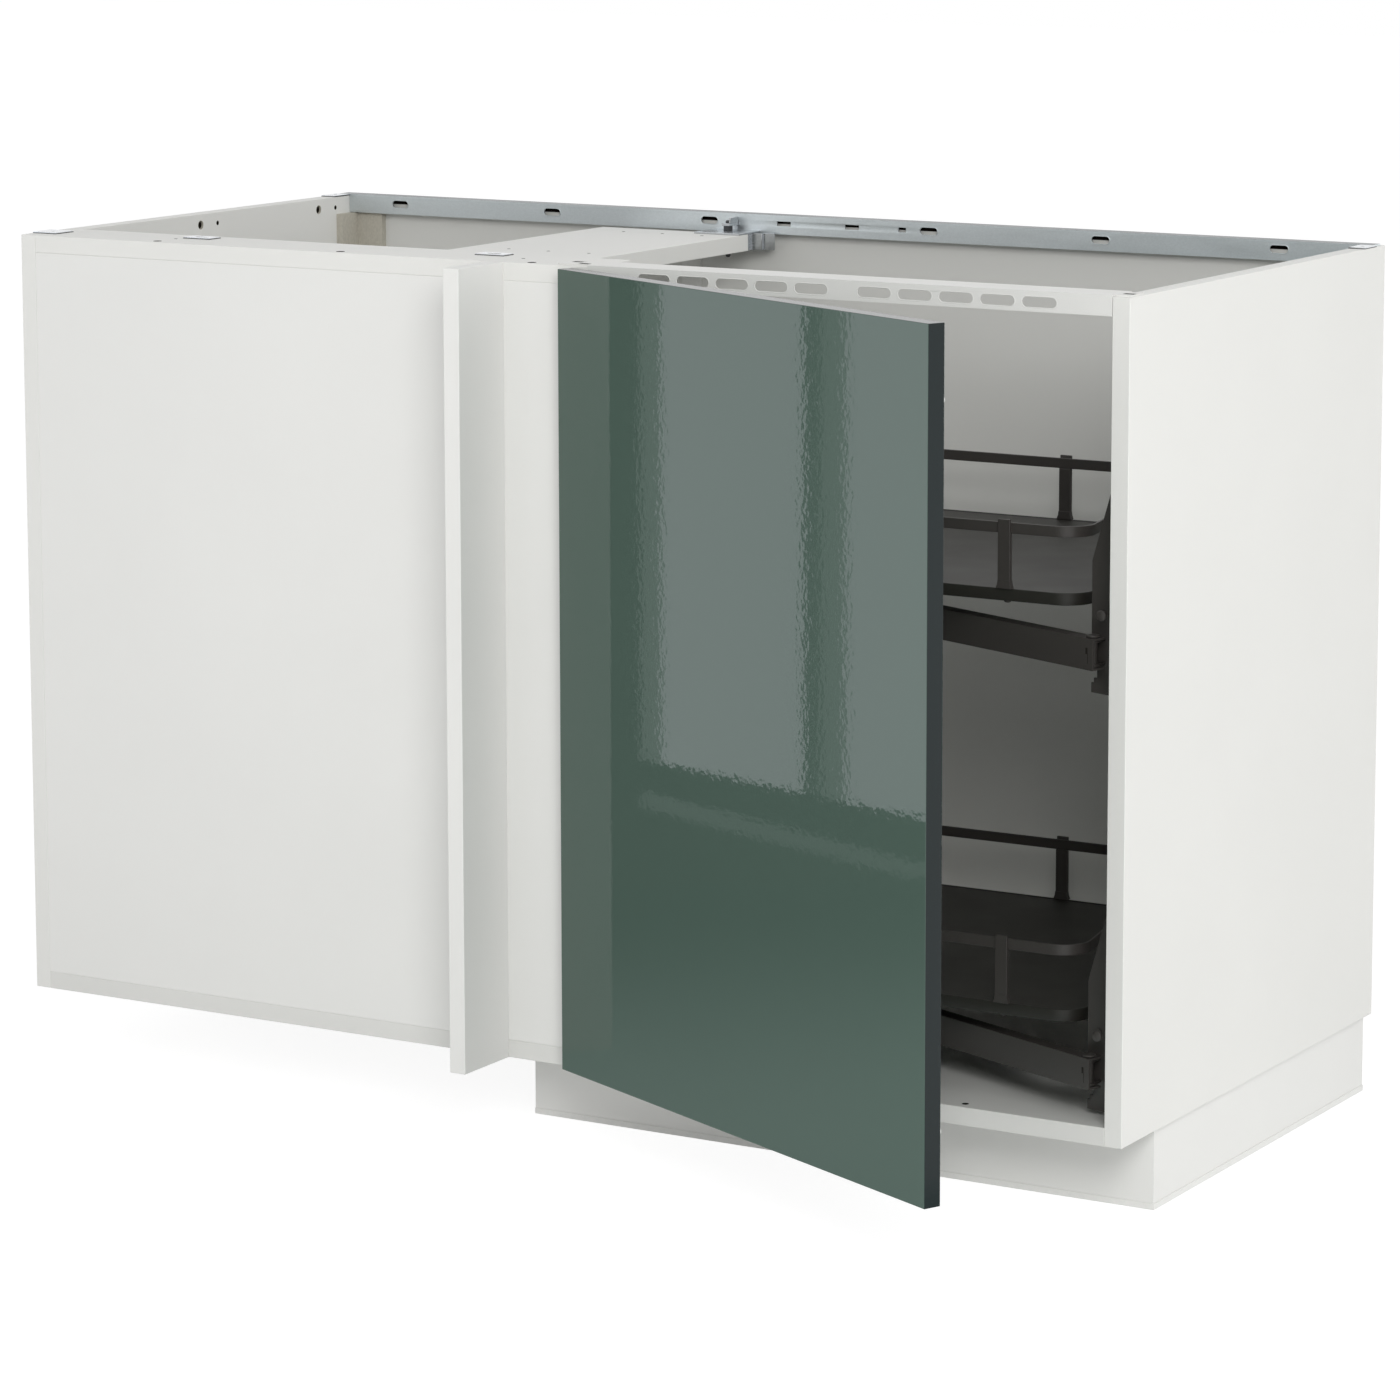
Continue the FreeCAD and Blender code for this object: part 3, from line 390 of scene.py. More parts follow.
def maths(tree, operation, *values):
    node = add_node(tree, "ShaderNodeMath", {"operation": operation})
    for socket, value in zip(node.inputs, values):
        feed(tree, socket, value)
    return node.outputs[0]


def ramp(tree, value, start, end, low=0.0, high=1.0, options=None):
    """A value carried from one range over to another, and held at both ends."""
    node = add_node(tree, "ShaderNodeMapRange", options, Value=value, From_Min=start, From_Max=end,
                    To_Min=low, To_Max=high)
    return node.outputs["Result"]


def spread(tree, value, low, high):
    """A noise, which runs round a half, spread to a range."""
    return ramp(tree, value, NOISE_LOW, NOISE_HIGH, low, high)


def place(tree, stretch=(1, 1, 1)):
    """Object coordinates, stretched."""
    coords = tree.nodes.new("ShaderNodeTexCoord")
    mapping = add_node(tree, "ShaderNodeMapping", Vector=coords.outputs["Object"], Scale=stretch)
    return mapping.outputs["Vector"]


def part_of(tree, vector, axis):
    """One coordinate of a vector."""
    return add_node(tree, "ShaderNodeSeparateXYZ", Vector=vector).outputs[axis]


def noise(tree, scale, detail, stretch=(1, 1, 1)):
    """A cloudy value."""
    node = add_node(tree, "ShaderNodeTexNoise", Vector=place(tree, stretch), Scale=scale,
                    Detail=detail)
    return node.outputs["Fac"]


def cells(tree, scale, stretch):
    """A random value for each cell of a broken pattern."""
    node = add_node(tree, "ShaderNodeTexVoronoi", Vector=place(tree, stretch), Scale=scale)
    return add_node(tree, "ShaderNodeSeparateColor", Color=node.outputs["Color"]).outputs["Red"]


def blend(tree, factor, first, second, kind="MIX"):
    """Two colours blended, each a colour with its alpha or another node's output."""
    node = add_node(tree, "ShaderNodeMix", {"data_type": "RGBA", "blend_type": kind})
    for index, value in zip(MIX_INPUTS, (factor, first, second)):
        feed(tree, node.inputs[index], value)
    return node.outputs[MIX_RESULT]


def shades(tree, value, dark, light):
    """A colour between two shades, led by a value."""
    return blend(tree, value, (*dark, 1), (*light, 1))


# Materials

def new_material(name, colour, roughness, metallic=0.0):
    """A material with the shader's constants set on its own sockets."""
    material = bpy.data.materials.new(name)
    material.use_nodes = True
    tree = material.node_tree
    shader = tree.nodes["Principled BSDF"]
    shader.inputs["Base Color"].default_value = (*colour, 1)
    shader.inputs["Roughness"].default_value = roughness
    shader.inputs["Metallic"].default_value = metallic
    return material, tree, shader


def tint(colour, factor):
    return tuple(min(1.0, c * factor) for c in colour)


def vary_tone(tree, shader, value, colour, dark, light):
    """The base colour runs between two shares of itself."""
    tree.links.new(shades(tree, value, tint(colour, dark), tint(colour, light)),
                   shader.inputs["Base Color"])


def vary_gloss(tree, shader, value, low, high):
    """The roughness runs between two values."""
    tree.links.new(spread(tree, value, low, high), shader.inputs["Roughness"])


def raise_surface(tree, shader, height, depth):
    """Bump from a height value, with the waves as deep as given, in metres."""
    bump = add_node(tree, "ShaderNodeBump", Strength=1.0, Distance=depth, Height=height)
    tree.links.new(bump.outputs["Normal"], shader.inputs["Normal"])


def grained(name, colour, roughness, grain, tones, gloss, depth, metallic=0.0, cloud=None,
            sheen=None):
    """A finish with a fine grain, which is raised by depth.

    grain, cloud and sheen are the scale, detail and stretch of a noise. The tones are shares of the
    colour and follow the cloud, the gloss is added to the roughness and follows the sheen, and
    where these aren't given, the grain leads.
    """
    material, tree, shader = new_material(name, colour, roughness, metallic)
    fine = noise(tree, *grain)
    toned = spread(tree, noise(tree, *cloud), 0.0, 1.0) if cloud else fine
    polished = noise(tree, *sheen) if sheen else fine
    vary_tone(tree, shader, toned, colour, *tones)
    vary_gloss(tree, shader, polished, roughness + gloss[0], roughness + gloss[1])
    raise_surface(tree, shader, fine, depth)
    return material


def board_material(name, colour, roughness):
    """Melamine: an even tone with a faint cloud, a fine pearl and a trace of grain."""
    return grained(name, colour, roughness, grain=(900.0, 3.0, (1, 1, 0.35)), cloud=(5.0, 2.0),
                   tones=(0.985, 1.01), gloss=(-0.05, 0.06), depth=0.00003)


def plated_material(name, colour, roughness):
    """Bright plated steel with fine drawing lines."""
    return grained(name, colour, roughness, grain=(900.0, 3.0, (0.1, 1, 1)), tones=(0.95, 1.04),
                   gloss=(-0.03, 0.05), depth=0.000002, metallic=1.0)


def coat_material(name, colour, roughness, pebble=1400.0):
    """Powder coat: an even colour over a fine pebbled skin."""
    return grained(name, colour, roughness, grain=(pebble, 2.0), sheen=(18.0, 3.0),
                   tones=(0.93, 1.07), gloss=(-0.04, 0.05), depth=0.00003)


def soft_material(name, colour, roughness):
    """Soft plastic lips and bumpers."""
    return grained(name, colour, roughness, grain=(600.0, 2.0), tones=(0.95, 1.04),
                   gloss=(-0.05, 0.08), depth=0.00002)


def mat_material(colour):
    """Non-slip mat: a fine grain under a dull skin."""
    return grained("non-slip mat", colour, 0.55, grain=(1100.0, 2.0), sheen=(9.0, 3.0),
                   tones=(0.88, 1.12), gloss=(-0.07, 0.05), depth=0.00005)


def chipboard_material(colour):
    """Raw board: chips that differ in tone and height."""
    material, tree, shader = new_material("raw chipboard", colour, roughness=0.85)
    chips = cells(tree, scale=700.0, stretch=(1, 1, 0.5))
    vary_tone(tree, shader, chips, colour, dark=0.93, light=1.05)
    raise_surface(tree, shader, chips, depth=0.00006)
    return material


def zinc_material(colour):
    """Galvanised sheet: fine spangles, with painted light that brightens it towards the right, and
    painted shade that darkens the faces looking up.
    """
    material, tree, shader = new_material("galvanised sheet", colour, roughness=0.4, metallic=1.0)
    coords = tree.nodes.new("ShaderNodeTexCoord")
    spangle = cells(tree, scale=520.0, stretch=(1, 1, 1.3))
    # Painted light: the colour brightens along X from left to right. Painted shade: faces that look up
    # are darkened, standing in for a dark reflection.
    along = ramp(tree, part_of(tree, coords.outputs["Object"], "X"), start=-0.6, end=0.6)
    painted_top_shade = ramp(tree, part_of(tree, coords.outputs["Normal"], "Z"), start=0.8, end=0.95)
    tone = shades(tree, along, tint(colour, 0.92), tint(colour, 1.24))
    grain = shades(tree, spangle, (0.95, 0.95, 0.95), (1, 1, 1))
    sheet = blend(tree, 1.0, tone, grain, "MULTIPLY")
    tree.links.new(blend(tree, painted_top_shade, sheet, (*tint(colour, 0.3), 1)), shader.inputs["Base Color"])
    polish = noise(tree, scale=40.0, detail=3.0, stretch=(0.3, 1, 2.0))
    vary_gloss(tree, shader, polish, low=0.34, high=0.44)
    raise_surface(tree, shader, spangle, depth=0.000004)
    return material


def lacquer_material(look):
    """Gloss with slow waves on the faces, and a duller band on the edges."""
    material, tree, shader = new_material("gloss lacquer", look.lacquer, roughness=0.03)
    shader.inputs["IOR"].default_value = 1.5
    coords = tree.nodes.new("ShaderNodeTexCoord")
    facing = add_node(tree, "ShaderNodeVectorMath", {"operation": "DOT_PRODUCT"},
                      Vector=coords.outputs["Normal"])
    facing.inputs[1].default_value = (-math.sin(DOOR_AJAR), -math.cos(DOOR_AJAR), 0)
    on_face = ramp(tree, maths(tree, "ABSOLUTE", facing.outputs["Value"]), start=0.6, end=0.8)
    tree.links.new(shades(tree, on_face, look.edge, look.lacquer), shader.inputs["Base Color"])
    for name, on_edge, within in (("Specular IOR Level", 0.36, 0.5), ("Roughness", 0.18, 0.03)):
        tree.links.new(ramp(tree, on_face, 0.0, 1.0, on_edge, within), shader.inputs[name])
    waves = noise(tree, scale=1 / look.ripple_size, detail=1.0)
    raise_surface(tree, shader, waves, look.ripple)
    return material


def paint(thing, material):
    """Gives an object its one material."""
    thing.data.materials.clear()
    thing.data.materials.append(material)


def wear(material, *names):
    """Gives CAD nodes their material."""
    for name in names:
        paint(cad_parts[name], material)


# Meshes

def new_mesh(name, points, faces=()):
    mesh = bpy.data.meshes.new(name)
    mesh.from_pydata([tuple(point) for point in points], [], [tuple(face) for face in faces])
    return mesh


def add_object(name, data):
    thing = bpy.data.objects.new(name, data)
    bpy.context.scene.collection.objects.link(thing)
    return thing


def clean(mesh, merge=False, flatten=False, outwards=False):
    """Merges doubles, clears the lines inside flat faces and turns the faces outwards, as asked."""
    work = bmesh.new()
    work.from_mesh(mesh)
    if merge:
        bmesh.ops.remove_doubles(work, verts=work.verts, dist=MERGE)
    if flatten:
        bmesh.ops.dissolve_limit(work, angle_limit=FLAT, verts=work.verts, edges=work.edges)
    if outwards:
        bmesh.ops.recalc_face_normals(work, faces=work.faces)
    work.to_mesh(mesh)
    work.free()


def freeze(thing):
    """Turns an object with modifiers into a plain mesh."""
    graph = bpy.context.evaluated_depsgraph_get()
    plain = bpy.data.meshes.new_from_object(thing.evaluated_get(graph), depsgraph=graph)
    thing.modifiers.clear()
    thing.data = plain


def round_edges(thing, width, segments=2):
    """Rounds the sharp edges."""
    modifier = thing.modifiers.new("Edges", "BEVEL")
    modifier.width = width
    modifier.segments = segments
    modifier.limit_method = "ANGLE"
    modifier.angle_limit = ROUNDED
    modifier.use_clamp_overlap = True
    freeze(thing)


def smooth(thing, angle=FOLDED):
    """Round forms are shaded smooth, and every fold stays a crisp edge."""
    thing.data.shade_smooth()
    thing.data.set_sharp_from_angle(angle=angle)


def settle(thing, body, replaces=()):
    """Sets a finished piece on its body, and hides the CAD nodes it replaces."""
    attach(thing, body)
    if replaces:
        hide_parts(*replaces)


def ease(name, node, material, body, slot, width, segments=2, cutter=None):
    """A piece in the solid's own form, its edges rounded as folding and coating leave them."""
    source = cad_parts[node]
    mesh = source.data.copy()
    mesh.transform(source.matrix_world)
    mesh.materials.clear()
    clean(mesh, merge=True, flatten=True)
    thing = add_object(name, mesh)
    if cutter:
        cut = thing.modifiers.new("Cut", "BOOLEAN")
        cut.operation = "DIFFERENCE"
        cut.object = cutter
        freeze(thing)
        bpy.data.objects.remove(cutter)
    round_edges(thing, width, segments)
    smooth(thing)
    paint(thing, material)
    settle(thing, body, (node,))


def islands(node):
    """Boxes (lowest corner, highest corner) of the separate solids in a CAD node."""
    work = bmesh.new()
    work.from_mesh(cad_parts[node].data)
    bmesh.ops.remove_doubles(work, verts=work.verts, dist=MERGE)
    left = set(work.verts)
    boxes = []
    while left:
        stack = [left.pop()]
        found = []
        while stack:
            vert = stack.pop()
            found.append(vert.co.copy())
            for edge in vert.link_edges:
                other = edge.other_vert(vert)
                if other in left:
                    left.remove(other)
                    stack.append(other)
        boxes.append((Vector(min(c[i] for c in found) for i in range(3)),
                      Vector(max(c[i] for c in found) for i in range(3))))
    work.free()
    return sorted(boxes, key=lambda box: tuple(box[0]))


class Clay:
    """Collects simple shapes into one mesh."""

    def __init__(self):
        self.verts = []
        self.faces = []

    def box(self, low, high):
        (x0, y0, z0), (x1, y1, z1) = low, high
        self.prism([(x0, y0), (x1, y0), (x1, y1), (x0, y1)], z0, z1)

    def prism(self, outline, z0, z1):
        self.loft([[(x, y, z) for x, y in outline] for z in (z0, z1)])

    def loft(self, rings):
        """A closed skin through rings that have the same number of points."""
        base = len(self.verts)
        count = len(rings[0])
        self.verts += [Vector(point) for ring in rings for point in ring]
        for level in range(len(rings) - 1):
            lower = base + level * count
            upper = lower + count
            for i in range(count):
                j = (i + 1) % count
                self.faces.append([lower + i, lower + j, upper + j, upper + i])
        self.faces.append([base + i for i in reversed(range(count))])
        self.faces.append([base + (len(rings) - 1) * count + i for i in range(count)])

    def lathe(self, centre, axis, profile, sides=32):
        """A turned shape: profile holds (distance along the axis, radius)."""
        axis = Vector(axis).normalized()
        across = axis.orthogonal().normalized()
        other = axis.cross(across)
        rings = []
        for along, radius in profile:
            rings.append([Vector(centre) + axis * along
                          + (across * math.cos(2 * math.pi * i / sides)
                             + other * math.sin(2 * math.pi * i / sides)) * radius
                          for i in range(sides)])
        self.loft(rings)

    def cutter(self):
        """The shapes as a helper that a Boolean cut takes away with it."""
        mesh = new_mesh("cutter", self.verts, self.faces)
        clean(mesh, outwards=True)
        return add_object("cutter", mesh)

    def make(self, name, material, body, replaces=(), bevel=0.0):
        """A finished piece in the row frame, bevelled, shaded and set on its body."""
        mesh = new_mesh(name, self.verts, self.faces)
        mesh.validate()
        clean(mesh, merge=True, outwards=True)
        thing = add_object(name, mesh)
        if bevel:
            round_edges(thing, bevel)
        smooth(thing)
        paint(thing, material)
        settle(thing, body, replaces)


# Repeats by Geometry Nodes

def new_tree(name, sizes):
    """A geometry tree with named inputs for its sizes."""
    tree = bpy.data.node_groups.new(name, "GeometryNodeTree")
    tree.interface.new_socket("Geometry", in_out="INPUT", socket_type="NodeSocketGeometry")
    for label, value in sizes.items():
        socket = tree.interface.new_socket(label, in_out="INPUT", socket_type="NodeSocketFloat")
        socket.default_value = value
    tree.interface.new_socket("Geometry", in_out="OUTPUT", socket_type="NodeSocketGeometry")
    return tree, tree.nodes.new("NodeGroupInput").outputs, tree.nodes.new("NodeGroupOutput").inputs


def repeat(name, places, sizes, shape, turn, material, body):
    """Sets one shape, built by nodes from named sizes, at every place."""
    tree, given, result = new_tree(name, sizes)
    spots = add_node(tree, "GeometryNodeMeshToPoints", Mesh=given["Geometry"])
    copies = add_node(tree, "GeometryNodeInstanceOnPoints", Points=spots.outputs["Points"],
                      Instance=shape(tree, given), Rotation=turn)
    solid = add_node(tree, "GeometryNodeRealizeInstances", Geometry=copies.outputs["Instances"])
    dress = add_node(tree, "GeometryNodeSetMaterial", Geometry=solid.outputs["Geometry"],
                     Material=material)
    tree.links.new(dress.outputs["Geometry"], result["Geometry"])
    thing = add_object(name, new_mesh(name, places))
    modifier = thing.modifiers.new("Repeat", "NODES")
    modifier.node_group = tree
    for socket in tree.interface.items_tree:
        if socket.in_out == "INPUT" and socket.name in sizes:
            modifier[socket.identifier] = sizes[socket.name]
    freeze(thing)
    smooth(thing, FOLDED_REPEAT)
    settle(thing, body)


def sweep(tree, path, profile):
    """A skin along a path with a profile."""
    return add_node(tree, "GeometryNodeCurveToMesh", Curve=path,
                    Profile_Curve=profile).outputs["Mesh"]


def circle(tree, radius, resolution):
    return add_node(tree, "GeometryNodeCurvePrimitiveCircle", Radius=radius,
                    Resolution=resolution).outputs["Curve"]


def oblong(tree, width, height):
    return add_node(tree, "GeometryNodeCurvePrimitiveQuadrilateral", Width=width,
                    Height=height).outputs["Curve"]


def slot_rim(tree, given):
    """A round wire bent to the outline of a slot."""
    corner = add_node(tree, "GeometryNodeFilletCurve", {"mode": "POLY"}, Count=8,
                      Curve=oblong(tree, given["Length"], given["Width"]), Radius=given["Corner"])
    return sweep(tree, corner.outputs["Curve"], circle(tree, given["Wire"], resolution=8))


def sleeve(tree, given):
    """A thin ring that lines a hole, centred on its place."""
    return sweep(tree, circle(tree, given["Radius"], resolution=28),
                 oblong(tree, given["Wall"], given["Depth"]))


def thread_turn(tree, given):
    """One turn of a thread, told as a ring with a three-sided section."""
    return sweep(tree, circle(tree, given["Radius"], resolution=24),
                 circle(tree, given["Wire"], resolution=3))


def disc(tree, given):
    return add_node(tree, "GeometryNodeMeshCylinder", Vertices=28, Radius=given["Radius"],
                    Depth=given["Depth"]).outputs["Mesh"]


def screw_head(tree, given):
    """A low head with a six-sided recess."""
    head = add_node(tree, "GeometryNodeMeshCone", Vertices=28, Radius_Top=given["Top"],
                    Radius_Bottom=given["Radius"], Depth=given["Height"])
    tool = add_node(tree, "GeometryNodeMeshCylinder", Vertices=6, Radius=given["Recess"],
                    Depth=given["Height"])
    raised = add_node(tree, "ShaderNodeCombineXYZ", Z=given["Height"])
    lift = add_node(tree, "GeometryNodeTransform", Geometry=tool.outputs["Mesh"],
                    Translation=raised.outputs["Vector"])
    cut = add_node(tree, "GeometryNodeMeshBoolean", {"operation": "DIFFERENCE"},
                   Mesh_1=head.outputs["Mesh"], Mesh_2=lift.outputs["Geometry"])
    return cut.outputs["Mesh"]


def rib_ring(tree, given):
    """Upright ribs round a centre."""
    spots = add_node(tree, "GeometryNodeMeshCircle", Vertices=16, Radius=given["Radius"])
    size = add_node(tree, "ShaderNodeCombineXYZ", X=given["Reach"], Y=given["Wall"],
                    Z=given["Height"])
    rib = add_node(tree, "GeometryNodeMeshCube", Size=size.outputs["Vector"])
    where = tree.nodes.new("GeometryNodeInputPosition")
    outward = add_node(tree, "FunctionNodeAlignRotationToVector", {"axis": "X"},
                       Vector=where.outputs["Position"])
    copies = add_node(tree, "GeometryNodeInstanceOnPoints", Points=spots.outputs["Mesh"],
                      Instance=rib.outputs["Mesh"], Rotation=outward.outputs["Rotation"])
    return copies.outputs["Instances"]


# Pieces

class CABINET_OT_boards(bpy.types.Operator):
    """Finish the boards of the carcass"""
    bl_idname = "cabinet.boards"
    bl_label = "Boards"

    def execute(self, context):
        look = context.scene.cabinet_boards
        wear(board_material("white melamine", look.melamine, look.sheen), "side_panel_left",
             "side_panel_right", "hinge_stile", "front_top_rail", "cross_board")
        wear(board_material("white front", look.front, look.sheen), "blind_panel_wide",
             "blind_panel_narrow", "corner_post", "plinth_front", "plinth_side")
        wear(board_material("white fibreboard", look.fibre, look.sheen + BACK_DULLER),
             "back_panel_left", "back_panel_right")
        wear(chipboard_material(look.chips), "corner_batten", "bottom_dowels")
        wear(board_material("white inner board", tint(look.melamine, look.inner), look.sheen),
             "bottom_panel")
        return {"FINISHED"}


class CABINET_OT_drillings(bpy.types.Operator):
    """Line the drillings with raw board and a near-black end painted as the shade inside them"""
    bl_idname = "cabinet.drillings"
    bl_label = "Drillings"

    def execute(self, context):
        look = context.scene.cabinet_drillings
        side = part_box("side_panel_left")[1].x
        rail_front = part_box("suspension_rail")[0].y
        low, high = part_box("front_top_rail")
        top = high.z
        cross_low, cross_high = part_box("cross_board")
        side_z = top - look.side_drop
        wide = [(side, rail_front - y, side_z) for y in look.side_wide]
        small = [(side, rail_front - y, side_z) for y in look.side_small]
        small.append((side, rail_front - look.lone_back, top - look.lone_drop))
        marks = [(cross_low.x + x, cross_high.y - y, cross_high.z)
                 for x in look.mark_x for y in look.mark_y]
        marks += [(low.x + look.pilot_left, low.y + look.pilot_back, top),
                  (high.x - look.pilot_right, low.y + look.pilot_back, top)]
        floor_low, floor_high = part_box("bottom_panel")
        plug = (floor_high.x - look.plug_side, floor_low.y + look.plug_front, floor_high.z)
        step = (high.x - low.x - look.dowel_left - look.dowel_right) / 2
        dowels = [(low.x + look.dowel_left + i * step, low.y + look.dowel_back, top)
                  for i in range(3)]
        raw = bpy.data.materials["raw chipboard"]
        # A near-black material painted as the shade inside holes and slots, also used by the rail,
        # vent, plates and arms
        dark, _, shader = new_material("dark hole", look.hole, roughness=0.9)
        shader.inputs["Specular IOR Level"].default_value = 0
        down = ((0, 0, 0), Vector((0, 0, -1)))
        leftwards = ((0, math.pi / 2, 0), Vector((-1, 0, 0)))
        flush = look.wall * FLUSH_DEPTH
        for name, places, radius, way, depth in (
                ("side_wide", wide, look.wide_r, leftwards, look.depth),
                ("side_small", small, look.small_r, leftwards, look.shallow),
                ("marks", marks, look.mark_r, down, flush),
                ("leg_plug", [plug], look.plug_r, down, flush),
                ("dowels", dowels, look.dowel_r, down, flush)):
            turn, inward = way
            if way is leftwards:
                middle = [Vector(p) + inward * depth / 2 for p in places]
                repeat("drilling_lining_" + name, middle,
                       {"Radius": radius - look.wall / 2, "Wall": look.wall,
                        "Depth": depth * LINING_LENGTH},
                       sleeve, turn, raw, "carcass")
            ends = [Vector(p) + inward * (depth - look.wall / 2) for p in places]
            repeat("drilling_end_" + name, ends,
                   {"Radius": radius - look.wall / 5, "Depth": look.wall}, disc, turn, dark,
                   "carcass")
        return {"FINISHED"}


class CABINET_OT_rail(bpy.types.Operator):
    """Finish the galvanised rail with its pressed slots and the sheets behind them, one of them painted
    shade
    """
    bl_idname = "cabinet.rail"
    bl_label = "Suspension rail"

    def execute(self, context):
        look = context.scene.cabinet_steel
        zinc = zinc_material(look.zinc)
        ease("rail_profile", "suspension_rail", zinc, "carcass", "zinc_steel", look.fold / 3)
        low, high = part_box("suspension_rail")
        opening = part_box("vent_rail")[0].x + look.tab
        middle = high.z - look.slot_drop
        slots = [(first + i * look.slot_pitch, low.y, middle)
                 for first in (low.x + look.slot_first, opening + look.slot_second)
                 for i in range(3)]
        rim = look.rim_radius
        repeat("rail_slot_rims", slots,
               {"Length": look.slot_length + rim, "Width": look.slot_width + rim,
                "Corner": (look.slot_width + rim) / 2, "Wire": rim},
               slot_rim, (math.pi / 2, 0, 0), zinc, "carcass")
        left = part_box("side_panel_left")[1].x + look.fold
        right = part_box("side_panel_right")[0].x - look.fold
        strip = look.backing
        hollow = strip + look.fold
        cover = hollow + look.fold
        under = high.z - look.fold
        for name, material, slot, front, back, top in (
                ("rail_backing", bpy.data.materials["white fibreboard"], "back_white",
                 strip, hollow, middle - look.fold / 2),
                # A near-black sheet painted as the shade inside the rail, seen in the upper half of its
                # slots
                ("rail_hollow", bpy.data.materials["dark hole"], "back_white",
                 hollow, cover, under),
                ("rail_inner_sheet", zinc, "zinc_steel", cover, cover + look.fold / 2, under)):
            sheet = Clay()
            sheet.box((left, low.y + front, low.z + look.fold), (right, low.y + back, top))
            sheet.make(name, material, "carcass")
        return {"FINISHED"}


class CABINET_OT_clamp(bpy.types.Operator):
    """Build the folded strap, its bolt with thread, the nut and the hook"""
    bl_idname = "cabinet.clamp"
    bl_label = "Rail clamp"

    def execute(self, context):
        look = context.scene.cabinet_steel
        plated = plated_material("plated steel", look.plated, roughness=0.24)
        dusky = plated_material("dusky bolt steel", tint(look.plated, BOLT_TINT), roughness=0.3)
        self.strap(look, plated)
        self.bolt(look, dusky)
        steel = look.sheet
        low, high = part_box("rail_clamp_hook")
        hook = Clay()
        hook.box(low, high)
        hook.box((high.x - steel, low.y + steel, high.z), (high.x, high.y, high.z + steel * 3))
        hook.make("clamp_hook", plated, "carcass", replaces=("rail_clamp_hook",),
                  bevel=steel / 5)
        return {"FINISHED"}

    def strap(self, look, plated):
        """A plate on the board, and an upright strip that is folded round its end."""
        low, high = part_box("rail_clamp")
        board_low, board_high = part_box("cross_board")
        steel = look.sheet
        side = high.x
        end = board_high.y
        strap = Clay()
        strap.box((low.x, low.y, board_high.z), (high.x, high.y, board_high.z + steel))
        path = [Vector(p) for p in ((side - steel, end + steel / 4),
                                    (side - steel, end + look.first_fold),
                                    (side + look.second_fold, end + look.first_fold + steel),
                                    (side + look.second_fold, end + look.third_fold),
                                    (side + look.last_fold, end + look.third_fold + steel))]
        left = []
        right = []
        for i, point in enumerate(path):
            along = (path[min(i + 1, len(path) - 1)] - path[max(i - 1, 0)]).normalized()
            across = Vector((-along.y, along.x)) * steel / 2
            left.append(point + across)
            right.append(point - across)
        strap.prism(right + left[::-1], board_low.z, board_high.z)
        strap.make("clamp_strap", plated, "carcass", replaces=("rail_clamp",),
                   bevel=steel / 5)

    def bolt(self, look, dusky):
        """The bolt through the strap, its thread and its nut."""
        low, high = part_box("rail_clamp_bolt")
        board_low, board_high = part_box("cross_board")
        middle = (low + high) / 2
        centre = (middle.x, middle.y, 0)
        radius = look.bolt_r
        bevel = look.sheet / 2
        head_low = board_low.z - look.bolt_head
        shaft = Clay()
        shaft.lathe(centre, (0, 0, 1),
                    [(low.z, radius * BOLT_TIP), (low.z + radius / 2, radius * BOLT_THREAD),
                     (high.z - radius / 2, radius * BOLT_THREAD), (high.z, radius * BOLT_TIP)],
                    sides=24)
        shaft.lathe(centre, (0, 0, 1),
                    [(head_low, radius * BOLT_HEAD_RIM), (head_low + bevel, radius * BOLT_HEAD_WIDE),
                     (board_low.z - bevel, radius * BOLT_HEAD_WIDE),
                     (board_low.z, radius * BOLT_HEAD_RIM)], sides=28)
        shaft.make("clamp_bolt", dusky, "carcass", replaces=("rail_clamp_bolt",))
        pitch = radius / 3
        first = board_high.z + look.bolt_head * THREAD_START
        turns = int((high.z - radius / 2 - first) / pitch)
        repeat("clamp_thread", [(middle.x, middle.y, first + i * pitch) for i in range(turns)],
               {"Radius": radius * BOLT_THREAD, "Wire": pitch / 2}, thread_turn, (0, 0, 0), dusky,
               "carcass")
        nut_low, nut_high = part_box("rail_clamp_nut")
        nut = Clay()
        nut.prism([(middle.x + radius * BOLT_NUT * math.cos(math.pi / 3 * i),
                    middle.y + radius * BOLT_NUT * math.sin(math.pi / 3 * i)) for i in range(6)],
                  nut_low.z, nut_high.z)
        nut.make("clamp_nut", dusky, "carcass", replaces=("rail_clamp_nut",),
                 bevel=look.sheet / 4)


